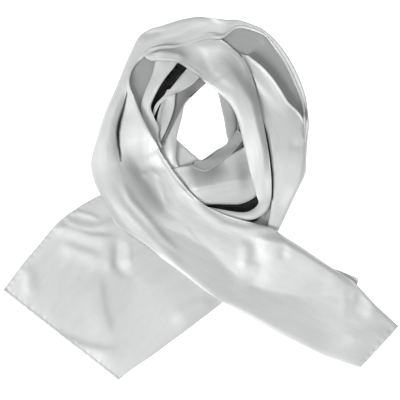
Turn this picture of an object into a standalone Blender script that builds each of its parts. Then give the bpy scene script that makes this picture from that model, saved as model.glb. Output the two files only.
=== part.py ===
"""An evening stole laid flat: one strip of satin folded lengthwise, wound once into a neck loop, its tails crossed.

Lengths are in millimetres and turned into metres when a mesh is made. +Z is up, the stole lies on z = 0, X runs
along the picture's width and Y towards the top of the loop. Each stretch of the cloth that shows is a curved
wall, worked out from a row of sections: the plan place of its first and second edge, the height of both edges and
how far the cloth between them rises. The stretches are laid in order, lowest first, and each one is lifted where it
crosses what lies beneath.
"""

from dataclasses import dataclass, field

import bpy
import numpy as np

METRES = 0.001
WALL = 1.5
LAID_GAP = 0.5
FOLD_RADIUS = 2.3
FOLD_RETURN = 4.0
HEM_LIFT = 3.6
HIDDEN_INSET = 12.0
SATIN = (0.62, 0.63, 0.62, 1.0)
SATIN_ROUGHNESS = 0.34


@dataclass
class Crease:
    """A ridge (height above 0) or a trough (below 0) along a line in plan, fading at both ends."""

    width: float
    height: float
    line: list


@dataclass
class Stretch:
    """One stretch of the cloth.

    Each section is a row of (first edge x, y, second edge x, y, first edge z, second edge z, crown). spacing is
    the distance between the sections that are made and across the number of points over one. round_first and
    round_second are how far in from its edge the cloth curves down. A fold edge rolls under, another one is cut.
    """

    name: str
    sections: list
    spacing: float = 14.0
    across: int = 9
    round_first: float = 12.0
    round_second: float = 12.0
    fold_first: bool = True
    fold_second: bool = True
    creases: list = field(default_factory=list)


# The tail that lies lowest, from its hemmed end to where it passes under the loop. Its second edge is the fold.
LEFT_TAIL = [
    (-336, -155, -140, -308, HEM_LIFT, FOLD_RADIUS, 2),
    (-322, -136, -120, -292, HEM_LIFT, FOLD_RADIUS, 4),
    (-300, -107, -86, -269, HEM_LIFT, FOLD_RADIUS, 5),
    (-273, -75, -48, -241, HEM_LIFT, FOLD_RADIUS, 5),
    (-242, -39, -9, -212, HEM_LIFT, FOLD_RADIUS, 6),
    (-208, -14, 30, -182, HEM_LIFT, FOLD_RADIUS, 6),
    (-171, 7, 64, -153, HEM_LIFT, FOLD_RADIUS, 6),
    (-123, 29, 91, -124, HEM_LIFT, FOLD_RADIUS, 5),
    (-82, 46, 111, -97, HEM_LIFT, FOLD_RADIUS, 4),
]

# The cloth below the hole: its first edge is the hem that droops in a V at the bottom of the hole.
LOWER_TURN = [
    (-76, 46, -48, -30, 9, 9, 5),
    (-38, 58, -18, -30, 9, 9, 6),
    (-16, 60, 3, -28, 8, 10, 6),
    (4, 62, 26, -27, 8, 10, 6),
    (30, 60, 54, -24, 7, 10, 6),
    (57, 69, 81, -18, 7, 9, 6),
    (77, 83, 100, -2, 7, 8, 5),
    (92, 100, 112, 18, 7, 7, 4),
]

# The pleats down the left side of the hole, from the hole's edge outwards.
NECK_PLEAT_LOW = [
    (-20, 172, -6, 184, 10, 6, 3),
    (-34, 156, -25, 162, 10, 5, 3),
    (-50, 138, -33, 141, 9, 4, 4),
    (-60, 116, -38, 122, 8, 4, 4),
    (-66, 94, -42, 104, 8, 4, 4),
    (-64, 73, -28, 86, 8, 4, 4),
    (-54, 52, -12, 70, 8, 5, 3),
    (-44, 36, -2, 54, 8, 6, 2),
]
NECK_PLEAT_BACK = [
    (-24, 217, 9, 204, 12, 10, 3),
    (-31, 196, -3, 190, 12, 9, 3),
    (-40, 173, -18, 175, 12, 9, 3),
    (-50, 151, -30, 160, 12, 9, 3),
    (-58, 131, -42, 139, 11, 9, 3),
    (-64, 110, -52, 117, 11, 9, 3),
    (-70, 90, -60, 95, 12, 11, 2),
]
NECK_PLEAT_LEAF = [
    (-52, 190, -36, 190, 15, 14, 3),
    (-64, 170, -42, 172, 15, 14, 5),
    (-69, 156, -44, 158, 15, 14, 6),
    (-71, 141, -47, 144, 15, 14, 6),
    (-72, 126, -52, 131, 15, 14, 5),
    (-74, 110, -60, 114, 15, 14, 4),
    (-76, 92, -64, 94, 15, 14, 3),
]
NECK_PLEAT_SLOPE = [
    (-11, 234, 12, 220, 20, 16, 3),
    (-21, 221, -3, 206, 20, 16, 4),
    (-33, 206, -18, 189, 20, 16, 4),
    (-48, 187, -37, 178, 20, 17, 3),
    (-64, 170, -55, 168, 21, 19, 3),
    (-75, 156, -67, 156, 21, 20, 3),
    (-83, 143, -75, 141, 21, 20, 3),
]
NECK_PLEAT_FRONT = [
    (-74, 246, -34, 240, 26, 25, 4),
    (-77, 233, -42, 226, 25, 24, 6),
    (-85, 211, -50, 207, 24, 23, 7),
    (-93, 190, -60, 187, 23, 22, 7),
    (-99, 172, -72, 167, 23, 21, 6),
    (-99, 156, -82, 150, 23, 21, 5),
    (-96, 139, -77, 133, 23, 20, 4),
    (-90, 117, -74, 116, 23, 20, 3),
]

# The two pleats that show down the right side of the hole, under the inner turn.
RIGHT_LINING = [
    (84, 182, 50, 189, 8, 8, 3),
    (84, 151, 55, 158, 7, 5, 4),
    (84, 126, 60, 133, 7, 5, 4),
    (77, 104, 59, 107, 7, 5, 4),
    (64, 84, 45, 90, 7, 6, 3),
    (52, 66, 32, 72, 7, 6, 2),
]
RIGHT_PLEAT = [
    (50, 194, 21, 196, 14, 8, 3),
    (48, 173, 30, 177, 14, 9, 4),
    (57, 153, 35, 155, 14, 10, 4),
    (66, 134, 40, 133, 14, 10, 5),
    (66, 114, 43, 112, 14, 10, 4),
    (58, 98, 45, 97, 14, 10, 4),
    (48, 82, 33, 88, 11, 8, 3),
    (34, 64, 19, 76, 9, 7, 2),
    (18, 44, 5, 58, 8, 7, 2),
]

# The shaded inside of the cloth that shows in the dip between the outer rim and the round pleats.
RIM_LINING = [
    (169, 121, 150, 128, 5, 8, 1),
    (166, 148, 140, 152, 5, 8, 1),
    (156, 182, 118, 172, 6, 8, 2),
    (140, 219, 96, 196, 7, 8, 2),
    (122, 250, 74, 216, 8, 9, 2),
    (102, 274, 58, 230, 9, 10, 2),
    (66, 284, 40, 242, 10, 11, 2),
    (26, 275, 12, 246, 12, 12, 2),
]

# The round outer pleat down the right side of the loop, then the bright tube inside it with its turn at the bottom.
RIGHT_TURN = [
    (81, 241, 67, 243, 12, 16, 5),
    (101, 231, 76, 224, 9, 14, 10),
    (120, 211, 82, 201, 7, 12, 14),
    (137, 189, 89, 175, 5, 11, 18),
    (150, 163, 96, 151, 4, 10, 20),
    (162, 138, 103, 131, 3, 9, 22),
    (171, 114, 110, 109, 3, 8, 23),
    (177, 90, 115, 83, 3, 8, 23),
    (179, 66, 118, 58, 3, 8, 23),
    (178, 44, 120, 32, 3, 8, 23),
    (167, 20, 122, 7, 3, 8, 22),
    (156, -3, 120, -17, 3, 8, 20),
    (144, -29, 115, -39, 3, 8, 17),
    (130, -56, 101, -61, 3, 7, 12),
    (114, -84, 84, -84, 3, 6, 7),
]
INNER_TURN = [
    (-91, 245, -82, 233, 24, 22, 8),
    (-69, 254, -59, 232, 22, 19, 12),
    (-38, 262, -35, 228, 19, 16, 15),
    (-4, 268, -9, 211, 17, 13, 18),
    (30, 266, 13, 193, 15, 12, 20),
    (55, 253, 33, 178, 14, 12, 21),
    (76, 230, 50, 160, 14, 12, 21),
    (89, 197, 62, 136, 14, 12, 20),
    (99, 163, 69, 109, 14, 12, 19),
    (109, 124, 75, 82, 14, 12, 18),
    (115, 85, 82, 54, 14, 12, 17),
    (119, 44, 88, 27, 14, 13, 15),
    (121, 10, 95, 5, 14, 14, 13),
    (115, -12, 97, -6, 14, 14, 11),
    (104, -25, 89, -16, 15, 15, 9),
    (88, -34, 76, -20, 15, 15, 8),
    (65, -37, 60, -20, 16, 16, 6),
    (40, -30, 37, -14, 17, 17, 5),
    (14, -20, 14, -2, 17, 17, 4),
]

# The outer turn: the rim down the right, the band over the top, the left side, the crossing and the upper tail.
OUTER_TURN = [
    (178, 97, 172, 101, 8, 14, 2),
    (182, 124, 172, 130, 6, 18, 3),
    (178, 167, 165, 163, 4, 20, 4),
    (167, 201, 152, 193, 3, 20, 4),
    (152, 231, 136, 224, 3, 20, 4),
    (132, 260, 118, 254, 3, 20, 4),
    (106, 284, 98, 272, 3, 20, 5),
    (82, 295, 78, 276, 3, 22, 6),
    (62, 301, 58, 274, 3, 24, 7),
    (43, 301, 35, 268, 3, 25, 8),
    (21, 305, 11, 268, 3, 25, 9),
    (-4, 308, -14, 262, 3, 25, 10),
    (-35, 303, -43, 250, 3, 26, 10),
    (-64, 294, -67, 251, 3, 27, 10),
    (-88, 287, -84, 246, 3, 28, 10),
    (-105, 275, -88, 235, 3, 28, 10),
    (-116, 255, -88, 219, 3, 28, 11),
    (-127, 231, -92, 202, 3, 28, 12),
    (-139, 201, -97, 185, 3, 28, 12),
    (-154, 165, -101, 165, 3, 28, 12),
    (-166, 133, -99, 144, 3, 28, 12),
    (-176, 104, -88, 119, 3, 27, 12),
    (-184, 76, -75, 90, 3, 26, 12),
    (-186, 53, -59, 61, 4, 26, 12),
    (-178, 24, -40, 36, 6, 26, 12),
    (-161, -8, -18, 12, 8, 26, 12),
    (-144, -41, 4, -8, 8, 26, 12),
    (-118, -63, 26, -20, 8, 26, 12),
    (-88, -84, 48, -29, 8, 26, 12),
    (-57, -107, 72, -36, 8, 25, 13),
    (-26, -130, 96, -42, 8, 24, 13),
    (4, -153, 120, -49, 8, 22, 13),
    (37, -175, 145, -65, 7, 16, 13),
    (76, -197, 174, -83, 4, 10, 11),
    (118, -221, 203, -103, 3, 6, 9),
    (161, -243, 230, -121, FOLD_RADIUS, 4.5, 7),
    (203, -263, 258, -139, FOLD_RADIUS, HEM_LIFT, 6),
    (241, -277, 295, -177, FOLD_RADIUS, HEM_LIFT, 5),
    (271, -287, 336, -216, FOLD_RADIUS, HEM_LIFT, 3),
]

# Hidden layers under the loop, as a ring open towards the crossing.
HIDDEN_RING = [
    (-170, 48, -60, 66),
    (-174, 72, -50, 92),
    (-166, 100, -46, 116),
    (-152, 148, -41, 142),
    (-130, 199, -28, 166),
    (-106, 240, -8, 188),
    (-84, 262, 4, 196),
    (-48, 280, 14, 198),
    (-1, 290, 22, 194),
    (54, 286, 32, 184),
    (94, 266, 36, 170),
    (126, 236, 41, 152),
    (150, 196, 46, 130),
    (164, 148, 50, 108),
    (168, 100, 58, 84),
    (166, 60, 76, 56),
    (152, 19, 100, 8),
]

# The lower panels of the folded tails, flat on the surface, as rows of (first edge x, y, second edge x, y).
LEFT_TAIL_PANEL = [(-330, -152, -139, -301), (-243, -47, -16, -206), (-174, 1, 56, -150), (-100, 34, 92, -112)]
RIGHT_TAIL_PANEL = [
    (88, -182, 138, -98),
    (124, -206, 176, -92),
    (166, -231, 206, -110),
    (208, -253, 242, -124),
    (238, -262, 268, -135),
]


def smooth_rows(rows, spacing):
    """The rows joined by a smooth curve and sampled evenly along its middle line."""
    rows = np.array(rows, float)
    ends = np.vstack([2 * rows[0] - rows[1], rows, 2 * rows[-1] - rows[-2]])
    steps = np.linspace(0.0, 1.0, 9)[:-1][:, None]
    parts = []
    for before, start, stop, after in zip(ends[:-3], ends[1:-2], ends[2:-1], ends[3:]):
        parts.append(
            0.5
            * (
                2 * start
                + (stop - before) * steps
                + (2 * before - 5 * start + 4 * stop - after) * steps**2
                + (3 * start - before - 3 * stop + after) * steps**3
            )
        )
    fine = np.vstack(parts + [rows[-1:]])
    middle = (fine[:, 0:2] + fine[:, 2:4]) / 2
    run = np.concatenate([[0.0], np.cumsum(np.hypot(*np.diff(middle, axis=0).T))])
    count = max(3, int(round(run[-1] / spacing)) + 1)
    places = np.linspace(0.0, run[-1], count)
    return np.column_stack([np.interp(places, run, column) for column in fine.T])


def distance_to_line(places, line):
    """For each place in plan: its distance to a line of points, and how far along the line, from 0 to 1."""
    line = np.array(line, float)
    starts, runs = line[:-1], np.diff(line, axis=0)
    lengths = np.hypot(*runs.T)
    before = np.concatenate([[0.0], np.cumsum(lengths)])
    away = places[:, None, :] - starts[None]
    share = np.clip((away * runs).sum(-1) / lengths**2, 0.0, 1.0)
    gaps = np.hypot(*np.moveaxis(away - share[..., None] * runs, -1, 0))
    nearest = gaps.argmin(axis=1)
    rows = np.arange(len(places))
    along = (before[nearest] + share[rows, nearest] * lengths[nearest]) / before[-1]
    return gaps[rows, nearest], along


def crease_heights(places, creases):
    """How much the creases raise or lower each place in plan."""
    total = np.zeros(len(places))
    for crease in creases:
        gap, along = distance_to_line(places, crease.line)
        fade = np.clip(np.minimum(along, 1.0 - along) * 5.0 + 0.15, 0.0, 1.0)
        total += crease.height * fade * np.exp(-((gap / crease.width) ** 2))
    return total


def edge_rise(distance, reach):
    """A quarter of an ellipse: 0 at the edge, 1 from reach inwards."""
    inside = np.clip(distance / reach, 0.0, 1.0)
    return np.sqrt(1.0 - (1.0 - inside) ** 2)


def section_places(stretch, width):
    """Places across one section as (distance from the first edge, share of the crown, drop below the edge)."""
    turn = np.linspace(0.0, np.pi, stretch.across)
    even = np.linspace(0.0, 1.0, stretch.across)
    share = 0.55 * (1.0 - np.cos(turn)) / 2 + 0.45 * even
    scale = min(1.0, width / (stretch.round_first + stretch.round_second))
    rise = edge_rise(share * width, stretch.round_first * scale)
    rise = rise * edge_rise((1.0 - share) * width, stretch.round_second * scale)
    rows = [(place * width, up, 0.0) for place, up in zip(share, rise)]
    radius = min(FOLD_RADIUS, width / 5)
    back = min(FOLD_RETURN, width / 5)
    under = [(radius * 0.6, radius * 0.9), (radius + back, radius)]
    if stretch.fold_first:
        rows = [(inwards, 0.0, drop) for inwards, drop in reversed(under)] + rows
    if stretch.fold_second:
        rows = rows + [(width - inwards, 0.0, drop) for inwards, drop in under]
    return np.array(rows)


def wall_grids(stretch):
    """Both faces of the cloth as grids of points: sections along, places across."""
    outer, inner = [], []
    for first_x, first_y, second_x, second_y, first_z, second_z, crown in smooth_rows(stretch.sections, stretch.spacing):
        first, second = np.array([first_x, first_y]), np.array([second_x, second_y])
        width = np.hypot(*(second - first))
        places = section_places(stretch, width)
        share = places[:, 0] / width
        plan = first + (second - first) * share[:, None]
        height = first_z + (second_z - first_z) * share + crown * places[:, 1] - places[:, 2]
        height = height + crease_heights(plan, stretch.creases) * np.minimum(1.0, places[:, 1] * 2)
        section = np.column_stack([places[:, 0], height])
        slope = np.gradient(section, axis=0)
        inwards = np.column_stack([slope[:, 1], -slope[:, 0]]) / np.hypot(*slope.T)[:, None]
        back = section + WALL * inwards
        outer.append(np.column_stack([plan, height]))
        inner.append(np.column_stack([first + (second - first) * (back[:, :1] / width), back[:, 1]]))
    return np.array(outer), np.array(inner)


class HeightMap:
    """The highest, or the lowest, cloth over each small square of the plan."""

    cell = 2.0
    reach = (380.0, 350.0)

    def __init__(self, highest=True):
        self.highest = highest
        shape = tuple(int(2 * side / self.cell) for side in self.reach)
        self.map = np.full(shape, -1.0 if highest else 1000.0)

    def index(self, points):
        column = np.round((points[..., 0] + self.reach[0]) / self.cell).astype(int)
        row = np.round((points[..., 1] + self.reach[1]) / self.cell).astype(int)
        return np.clip(column, 0, self.map.shape[0] - 1), np.clip(row, 0, self.map.shape[1] - 1)

    def add(self, grid):
        """Marks every square that a grid of points covers."""
        steps = np.linspace(0.0, 1.0, 10)
        for i in steps:
            along = grid[:-1] * (1 - i) + grid[1:] * i
            for j in steps:
                points = along[:, :-1] * (1 - j) + along[:, 1:] * j
                combine = np.maximum if self.highest else np.minimum
                combine.at(self.map, self.index(points), points[..., 2])

    def spread(self, cells):
        """The map with each square holding the extreme of its surroundings, so that nothing between points is missed."""
        combine = np.maximum if self.highest else np.minimum
        wide = self.map.copy()
        for _ in range(cells):
            grown = wide.copy()
            for axis in (0, 1):
                for step in (-1, 1):
                    grown = combine(grown, np.roll(wide, step, axis))
            wide = grown
        return wide


def smoothed(field_):
    padded = np.pad(field_, 1, mode="edge")
    return (
        padded[1:-1, 1:-1] * 0.4
        + (padded[:-2, 1:-1] + padded[2:, 1:-1]) * 0.2
        + (padded[1:-1, :-2] + padded[1:-1, 2:]) * 0.1
    )


def lay(stretch, tops):
    """The grids of a stretch, lifted in soft curves to lie on what is already there."""
    outer, inner = wall_grids(stretch)
    beneath = tops.spread(int(stretch.spacing / 4) + 2)
    need = np.zeros(outer.shape[:2])
    for grid in (outer, inner):
        need = np.maximum(need, beneath[tops.index(grid)] + LAID_GAP - grid[..., 2])
    under_fold = 3
    if stretch.fold_first:
        need[:, :under_fold] = need[:, :under_fold].max(axis=1, keepdims=True)
    if stretch.fold_second:
        need[:, -under_fold:] = need[:, -under_fold:].max(axis=1, keepdims=True)
    lift = need
    for _ in range(8):
        lift = np.maximum(need, smoothed(lift))
    outer[..., 2] += lift
    inner[..., 2] += lift
    return outer, inner


def closed_solid(name, upper, lower):
    """One closed body between two grids of points, with its own satin material."""
    count, across = upper.shape[:2]
    points = np.vstack([upper.reshape(-1, 3), lower.reshape(-1, 3)]) * METRES
    top = np.arange(count * across).reshape(count, across)
    low = top + count * across
    faces = []
    for i in range(count - 1):
        for j in range(across - 1):
            faces.append((top[i, j], top[i + 1, j], top[i + 1, j + 1], top[i, j + 1]))
            faces.append((low[i, j], low[i, j + 1], low[i + 1, j + 1], low[i + 1, j]))
        faces.append((top[i, 0], low[i, 0], low[i + 1, 0], top[i + 1, 0]))
        faces.append((top[i, -1], top[i + 1, -1], low[i + 1, -1], low[i, -1]))
    for j in range(across - 1):
        faces.append((top[0, j], top[0, j + 1], low[0, j + 1], low[0, j]))
        faces.append((top[-1, j], low[-1, j], low[-1, j + 1], top[-1, j + 1]))
    middle, along, sideways = upper[count // 2, 0], upper[count // 2 + 1, 0], upper[count // 2, -1]
    if np.cross(along - middle, sideways - middle)[2] < 0:
        faces = [face[::-1] for face in faces]
    mesh = bpy.data.meshes.new(name)
    mesh.from_pydata(points.tolist(), [], [tuple(int(k) for k in face) for face in faces])
    mesh.polygons.foreach_set("use_smooth", [True] * len(mesh.polygons))
    made = bpy.data.objects.new(name, mesh)
    bpy.context.scene.collection.objects.link(made)
    mesh.materials.append(satin(name))
    return made


def satin(name):
    """The silver-grey satin, as a material of this piece's own."""
    material = bpy.data.materials.new(name + "_satin")
    material.use_nodes = True
    shader = material.node_tree.nodes["Principled BSDF"]
    shader.inputs["Base Color"].default_value = SATIN
    shader.inputs["Roughness"].default_value = SATIN_ROUGHNESS
    shader.inputs["Metallic"].default_value = 0.0
    material.diffuse_color = SATIN
    return material


def flat_panel(rows, spacing, across):
    """Both faces of a panel flat on the surface."""
    share = np.linspace(0.0, 1.0, across)[:, None]
    upper = []
    for first_x, first_y, second_x, second_y in smooth_rows(rows, spacing):
        plan = np.array([first_x, first_y]) * (1 - share) + np.array([second_x, second_y]) * share
        upper.append(np.column_stack([plan, np.full(across, WALL)]))
    upper = np.array(upper)
    lower = upper - (0.0, 0.0, WALL)
    return upper, lower


def hidden_ring(bottoms):
    """The heaped layers under the loop: flat below, and above just under the cloth that covers them."""
    across = 9
    share = np.linspace(0.0, 1.0, across)[:, None]
    ledge = np.array([3.0, 7.0, 12.0])
    covers = bottoms.spread(9)
    upper = []
    for first_x, first_y, second_x, second_y in smooth_rows(HIDDEN_RING, 16.0):
        first, second = np.array([first_x, first_y]), np.array([second_x, second_y])
        inset = HIDDEN_INSET / np.hypot(*(second - first))
        plan = first + (second - first) * (inset + share * (1 - inset))
        most = np.full(across, 24.0)
        most[:3] = ledge
        most[-3:] = ledge[::-1]
        room = covers[bottoms.index(plan)] - LAID_GAP
        upper.append(np.column_stack([plan, np.clip(np.minimum(most, room), 0.6, None)]))
    upper = np.array(upper)
    lower = upper * (1.0, 1.0, 0.0)
    return upper, lower


STRETCHES = [
    Stretch("left_tail", LEFT_TAIL, 22.0, 13, 30.0, 7.0, fold_first=False, creases=[
        Crease(14, 5, [(-260, -55), (-195, -95), (-158, -122)]),
        Crease(12, 4, [(-222, -28), (-196, -52), (-170, -50), (-140, -36)]),
        Crease(10, 5, [(-138, -64), (-140, -100), (-133, -128)]),
        Crease(10, -3, [(-152, -66), (-153, -110)]),
        Crease(16, -3, [(-240, -205), (-205, -248), (-145, -250)]),
    ]),
    Stretch("rim_lining", RIM_LINING, 18.0, 6, 8.0, 8.0, fold_first=False, fold_second=False),
    Stretch("right_lining", RIGHT_LINING, 13.0, 5, 10.0, 8.0, fold_first=False),
    Stretch("right_pleat", RIGHT_PLEAT, 12.0, 5, 10.0, 6.0, fold_first=False),
    Stretch("neck_pleat_low", NECK_PLEAT_LOW, 12.0, 6, 8.0, 8.0, fold_first=False),
    Stretch("lower_turn", LOWER_TURN, 14.0, 11, 5.0, 10.0, fold_first=False, fold_second=False, creases=[
        Crease(8, 5, [(-12, 18), (40, 22), (85, 34)]),
        Crease(7, 4, [(0, 2), (40, 10), (66, 14)]),
        Crease(8, -3, [(-6, 36), (40, 42), (76, 60)]),
    ]),
    Stretch("neck_pleat_back", NECK_PLEAT_BACK, 14.0, 5, 8.0, 8.0, fold_first=False, fold_second=False),
    Stretch("neck_pleat_leaf", NECK_PLEAT_LEAF, 12.0, 6, 10.0, 8.0),
    Stretch("neck_pleat_slope", NECK_PLEAT_SLOPE, 12.0, 5, 8.0, 8.0),
    Stretch("neck_pleat_front", NECK_PLEAT_FRONT, 12.0, 7, 10.0, 10.0),
    Stretch("right_turn", RIGHT_TURN, 16.0, 9, 44.0, 14.0),
    Stretch("inner_turn", INNER_TURN, 14.0, 9, 34.0, 34.0, creases=[
        Crease(6, -6, [(60, 231), (66, 210), (82, 180), (98, 140)]),
        Crease(6, -4, [(4, 262), (8, 240), (16, 219), (27, 202), (42, 189)]),
    ]),
    Stretch("outer_turn", OUTER_TURN, 21.0, 13, 20.0, 10.0, fold_second=True, creases=[
        Crease(9, -7, [(-90, 238), (-95, 205), (-100, 175)]),
        Crease(6, -9, [(-125, 176), (-137, 128), (-139, 90), (-135, 66)]),
        Crease(10, 5, [(-117, 190), (-118, 150), (-112, 110), (-98, 70)]),
        Crease(12, 6, [(-150, 0), (-76, -74), (44, -156)]),
        Crease(10, 5, [(-128, 4), (-56, -62), (-20, -80)]),
        Crease(13, -7, [(-120, 41), (-84, 15), (-70, -18)]),
        Crease(11, 5, [(-26, -18), (20, -46), (66, -58), (134, -72)]),
        Crease(13, 6, [(42, -129), (93, -150), (170, -158), (246, -163)]),
        Crease(9, 4, [(76, -70), (76, -120)]),
        Crease(9, 4, [(104, -100), (137, -70)]),
        Crease(10, -4, [(88, -70), (96, -134)]),
        Crease(6, -5, [(-101, 275), (-69, 282), (-26, 291)]),
        Crease(6, -4, [(-86, 250), (-52, 265), (-1, 287)]),
    ]),
]


def main():
    for leftover in list(bpy.data.objects):
        bpy.data.objects.remove(leftover)
    tops, bottoms = HeightMap(), HeightMap(highest=False)
    panels = {
        "left_tail_panel": flat_panel(LEFT_TAIL_PANEL, 40.0, 4),
        "right_tail_panel": flat_panel(RIGHT_TAIL_PANEL, 40.0, 4),
    }
    for name, (upper, lower) in panels.items():
        tops.add(upper)
        closed_solid(name, upper, lower)
    for stretch in STRETCHES:
        outer, inner = lay(stretch, tops)
        for grid in (outer, inner):
            tops.add(grid)
            bottoms.add(grid)
        closed_solid(stretch.name, outer, inner)
    upper, lower = hidden_ring(bottoms)
    closed_solid("hidden_layers", upper, lower)


if __name__ == "__main__":
    main()
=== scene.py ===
"""Looks of an evening stole laid flat: one strip of satin, folded lengthwise and wound once into a neck loop.

Each stretch of the cloth that shows is one thin shell, worked out from a row of sections in millimetres, with
its folds laid on as ridges, troughs and slopes. In plan the sections follow the solids; their heights
are settled against the light. The stretches are laid in order, the lowest first, and each is lifted in soft
curves to lie on what is already there.
"""

from __future__ import annotations

import logging
import math
from collections.abc import Iterator
from dataclasses import dataclass, field
from enum import Enum

import bpy
import numpy as np
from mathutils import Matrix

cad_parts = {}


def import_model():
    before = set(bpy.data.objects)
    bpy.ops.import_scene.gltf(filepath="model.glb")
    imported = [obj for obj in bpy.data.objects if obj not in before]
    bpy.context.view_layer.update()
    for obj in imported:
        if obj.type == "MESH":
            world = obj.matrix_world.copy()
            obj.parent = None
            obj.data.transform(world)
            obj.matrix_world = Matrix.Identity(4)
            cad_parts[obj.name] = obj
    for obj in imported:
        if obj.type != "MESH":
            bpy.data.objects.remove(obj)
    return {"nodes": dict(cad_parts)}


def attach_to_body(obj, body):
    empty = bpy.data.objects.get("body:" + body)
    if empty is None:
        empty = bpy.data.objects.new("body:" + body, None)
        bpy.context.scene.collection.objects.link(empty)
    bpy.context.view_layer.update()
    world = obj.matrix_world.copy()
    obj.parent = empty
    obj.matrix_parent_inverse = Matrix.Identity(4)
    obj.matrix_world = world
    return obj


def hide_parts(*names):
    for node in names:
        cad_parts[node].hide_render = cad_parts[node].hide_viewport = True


LOG = logging.getLogger("stole")
METRES = 0.001

Line = list[tuple[float, float]]
Rows = list[tuple[float, ...]]
Colour = tuple[float, float, float, float]

# The cloth and its folded edges, in millimetres
CLOTH = 0.9
LAID_GAP = 0.35
FOLD_RADIUS = 2.2
FOLD_RETURN = 5.0
FOLD_ANGLES = np.radians([18, 36, 54, 72, 90])
FOLD_LOW = 1.2
FOLD_ZONE = (0.0, 0.15, 0.5, 1.1, 2.0, 3.1, 4.5, 6.2)
RIM_ANGLE = 55.0

# The rolled hems and their stitches, in millimetres and degrees
HEM_WIDTH = 4.6
HEM_RISE = 0.45
HEM_UNDERSIDE = 1.4
HEM_BASE = 3.4
HEM_ZONE = (0.0, 0.5, 1.1, 1.8, 2.6, 3.4, 4.2, 4.8, 5.4, 6.2, 7.4)
HEM_END_WIDTHS = 2.2
HEM_END_STEP = 0.8
PUCKER = 0.3
PUCKER_REACH = 4.0
PUCKER_WAVE = 1.9
PUCKER_SECOND_WAVE = 3.7
PUCKER_DRIFT = 17.0
STITCH_RINGS = ((-1.0, 0.15), (-0.75, 0.8), (0.0, 1.0), (0.75, 0.8), (1.0, 0.15))
STITCH_LINE = HEM_WIDTH + 0.2

# How creases, ramps and painted shades fade
CURVE_STEPS = 12
CREASE_REST = 0.08
FACET_ROUNDING = 0.03
FACET_PEAK = 0.173
RAMP_STRAIGHT = 0.6
# The painted shade's fall across a slit, and across a soft painted shade
SLIT_SHADE_CORE = 1.6
SLIT_SHADE_FALL = 1.2
SOFT_SHADE_FALL = 1.4
FOLDS_FULL = 1.6
BLUR_MIDDLE = 0.4
BLUR_SIDE = 0.15
LIFT_PASSES = 40

# The frame of the picture
MM_PER_PIXEL = 1.7
PICTURE_PIXELS = 400
PICTURE_MIDDLE = (200.5, 199.0)


class Edge(Enum):
    """How a stretch ends sideways: rolled under, hemmed, or cut off out of sight."""

    FOLD = "fold"
    HEM = "hem"
    RAW = "raw"


class Held(Enum):
    """What holds a stretch in its shape."""

    LAID = "laid"
    FOLDED = "folded"
    GATHERED = "gathered"


class Side(Enum):
    """The side of the satin that shows."""

    FACE = "face"
    REVERSE = "reverse"


@dataclass(frozen=True)
class Crease:
    """A ridge or a trough along a line in plan, fading at both ends.

    Attributes:
        width: How far it reaches on the line's left.
        rise: Its height, below 0 for a trough.
        line: The points that it runs along.
        other_width: How far it reaches on the line's right, where that differs.
        fade: The share of the line over which each end fades.
        facet: Whether its two sides meet at a sharp line.
    """

    width: float
    rise: float
    line: Line
    other_width: float = 0.0
    fade: float = 0.2
    facet: bool = False


@dataclass(frozen=True)
class Ramp:
    """An even slope in plan, from a low line up to a high one on its left, which drops away again behind it.

    Attributes:
        rise: How much higher the high line is.
        low: The points of the low line.
        high: The points of the high line.
        back: How far behind the high line it reaches.
        fade: The share of the lines over which each end fades.
    """

    rise: float
    low: Line
    high: Line
    back: float = 12.0
    fade: float = 0.25


@dataclass(frozen=True)
class PaintedShade:
    """Painted shade along a line in plan: the satin's colour is darkened towards black in a slit or deep
    fold, or where shade falls.

    Attributes:
        width: How wide it is to each side.
        darkness: How dark its painted shade is, from 0 to 1.
        line: The points that it runs along.
        fade: The share of the line over which each end fades.
        soft: Whether it has no clear edge.
    """

    width: float
    depth: float
    line: Line
    fade: float = 0.25
    soft: bool = False


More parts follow.
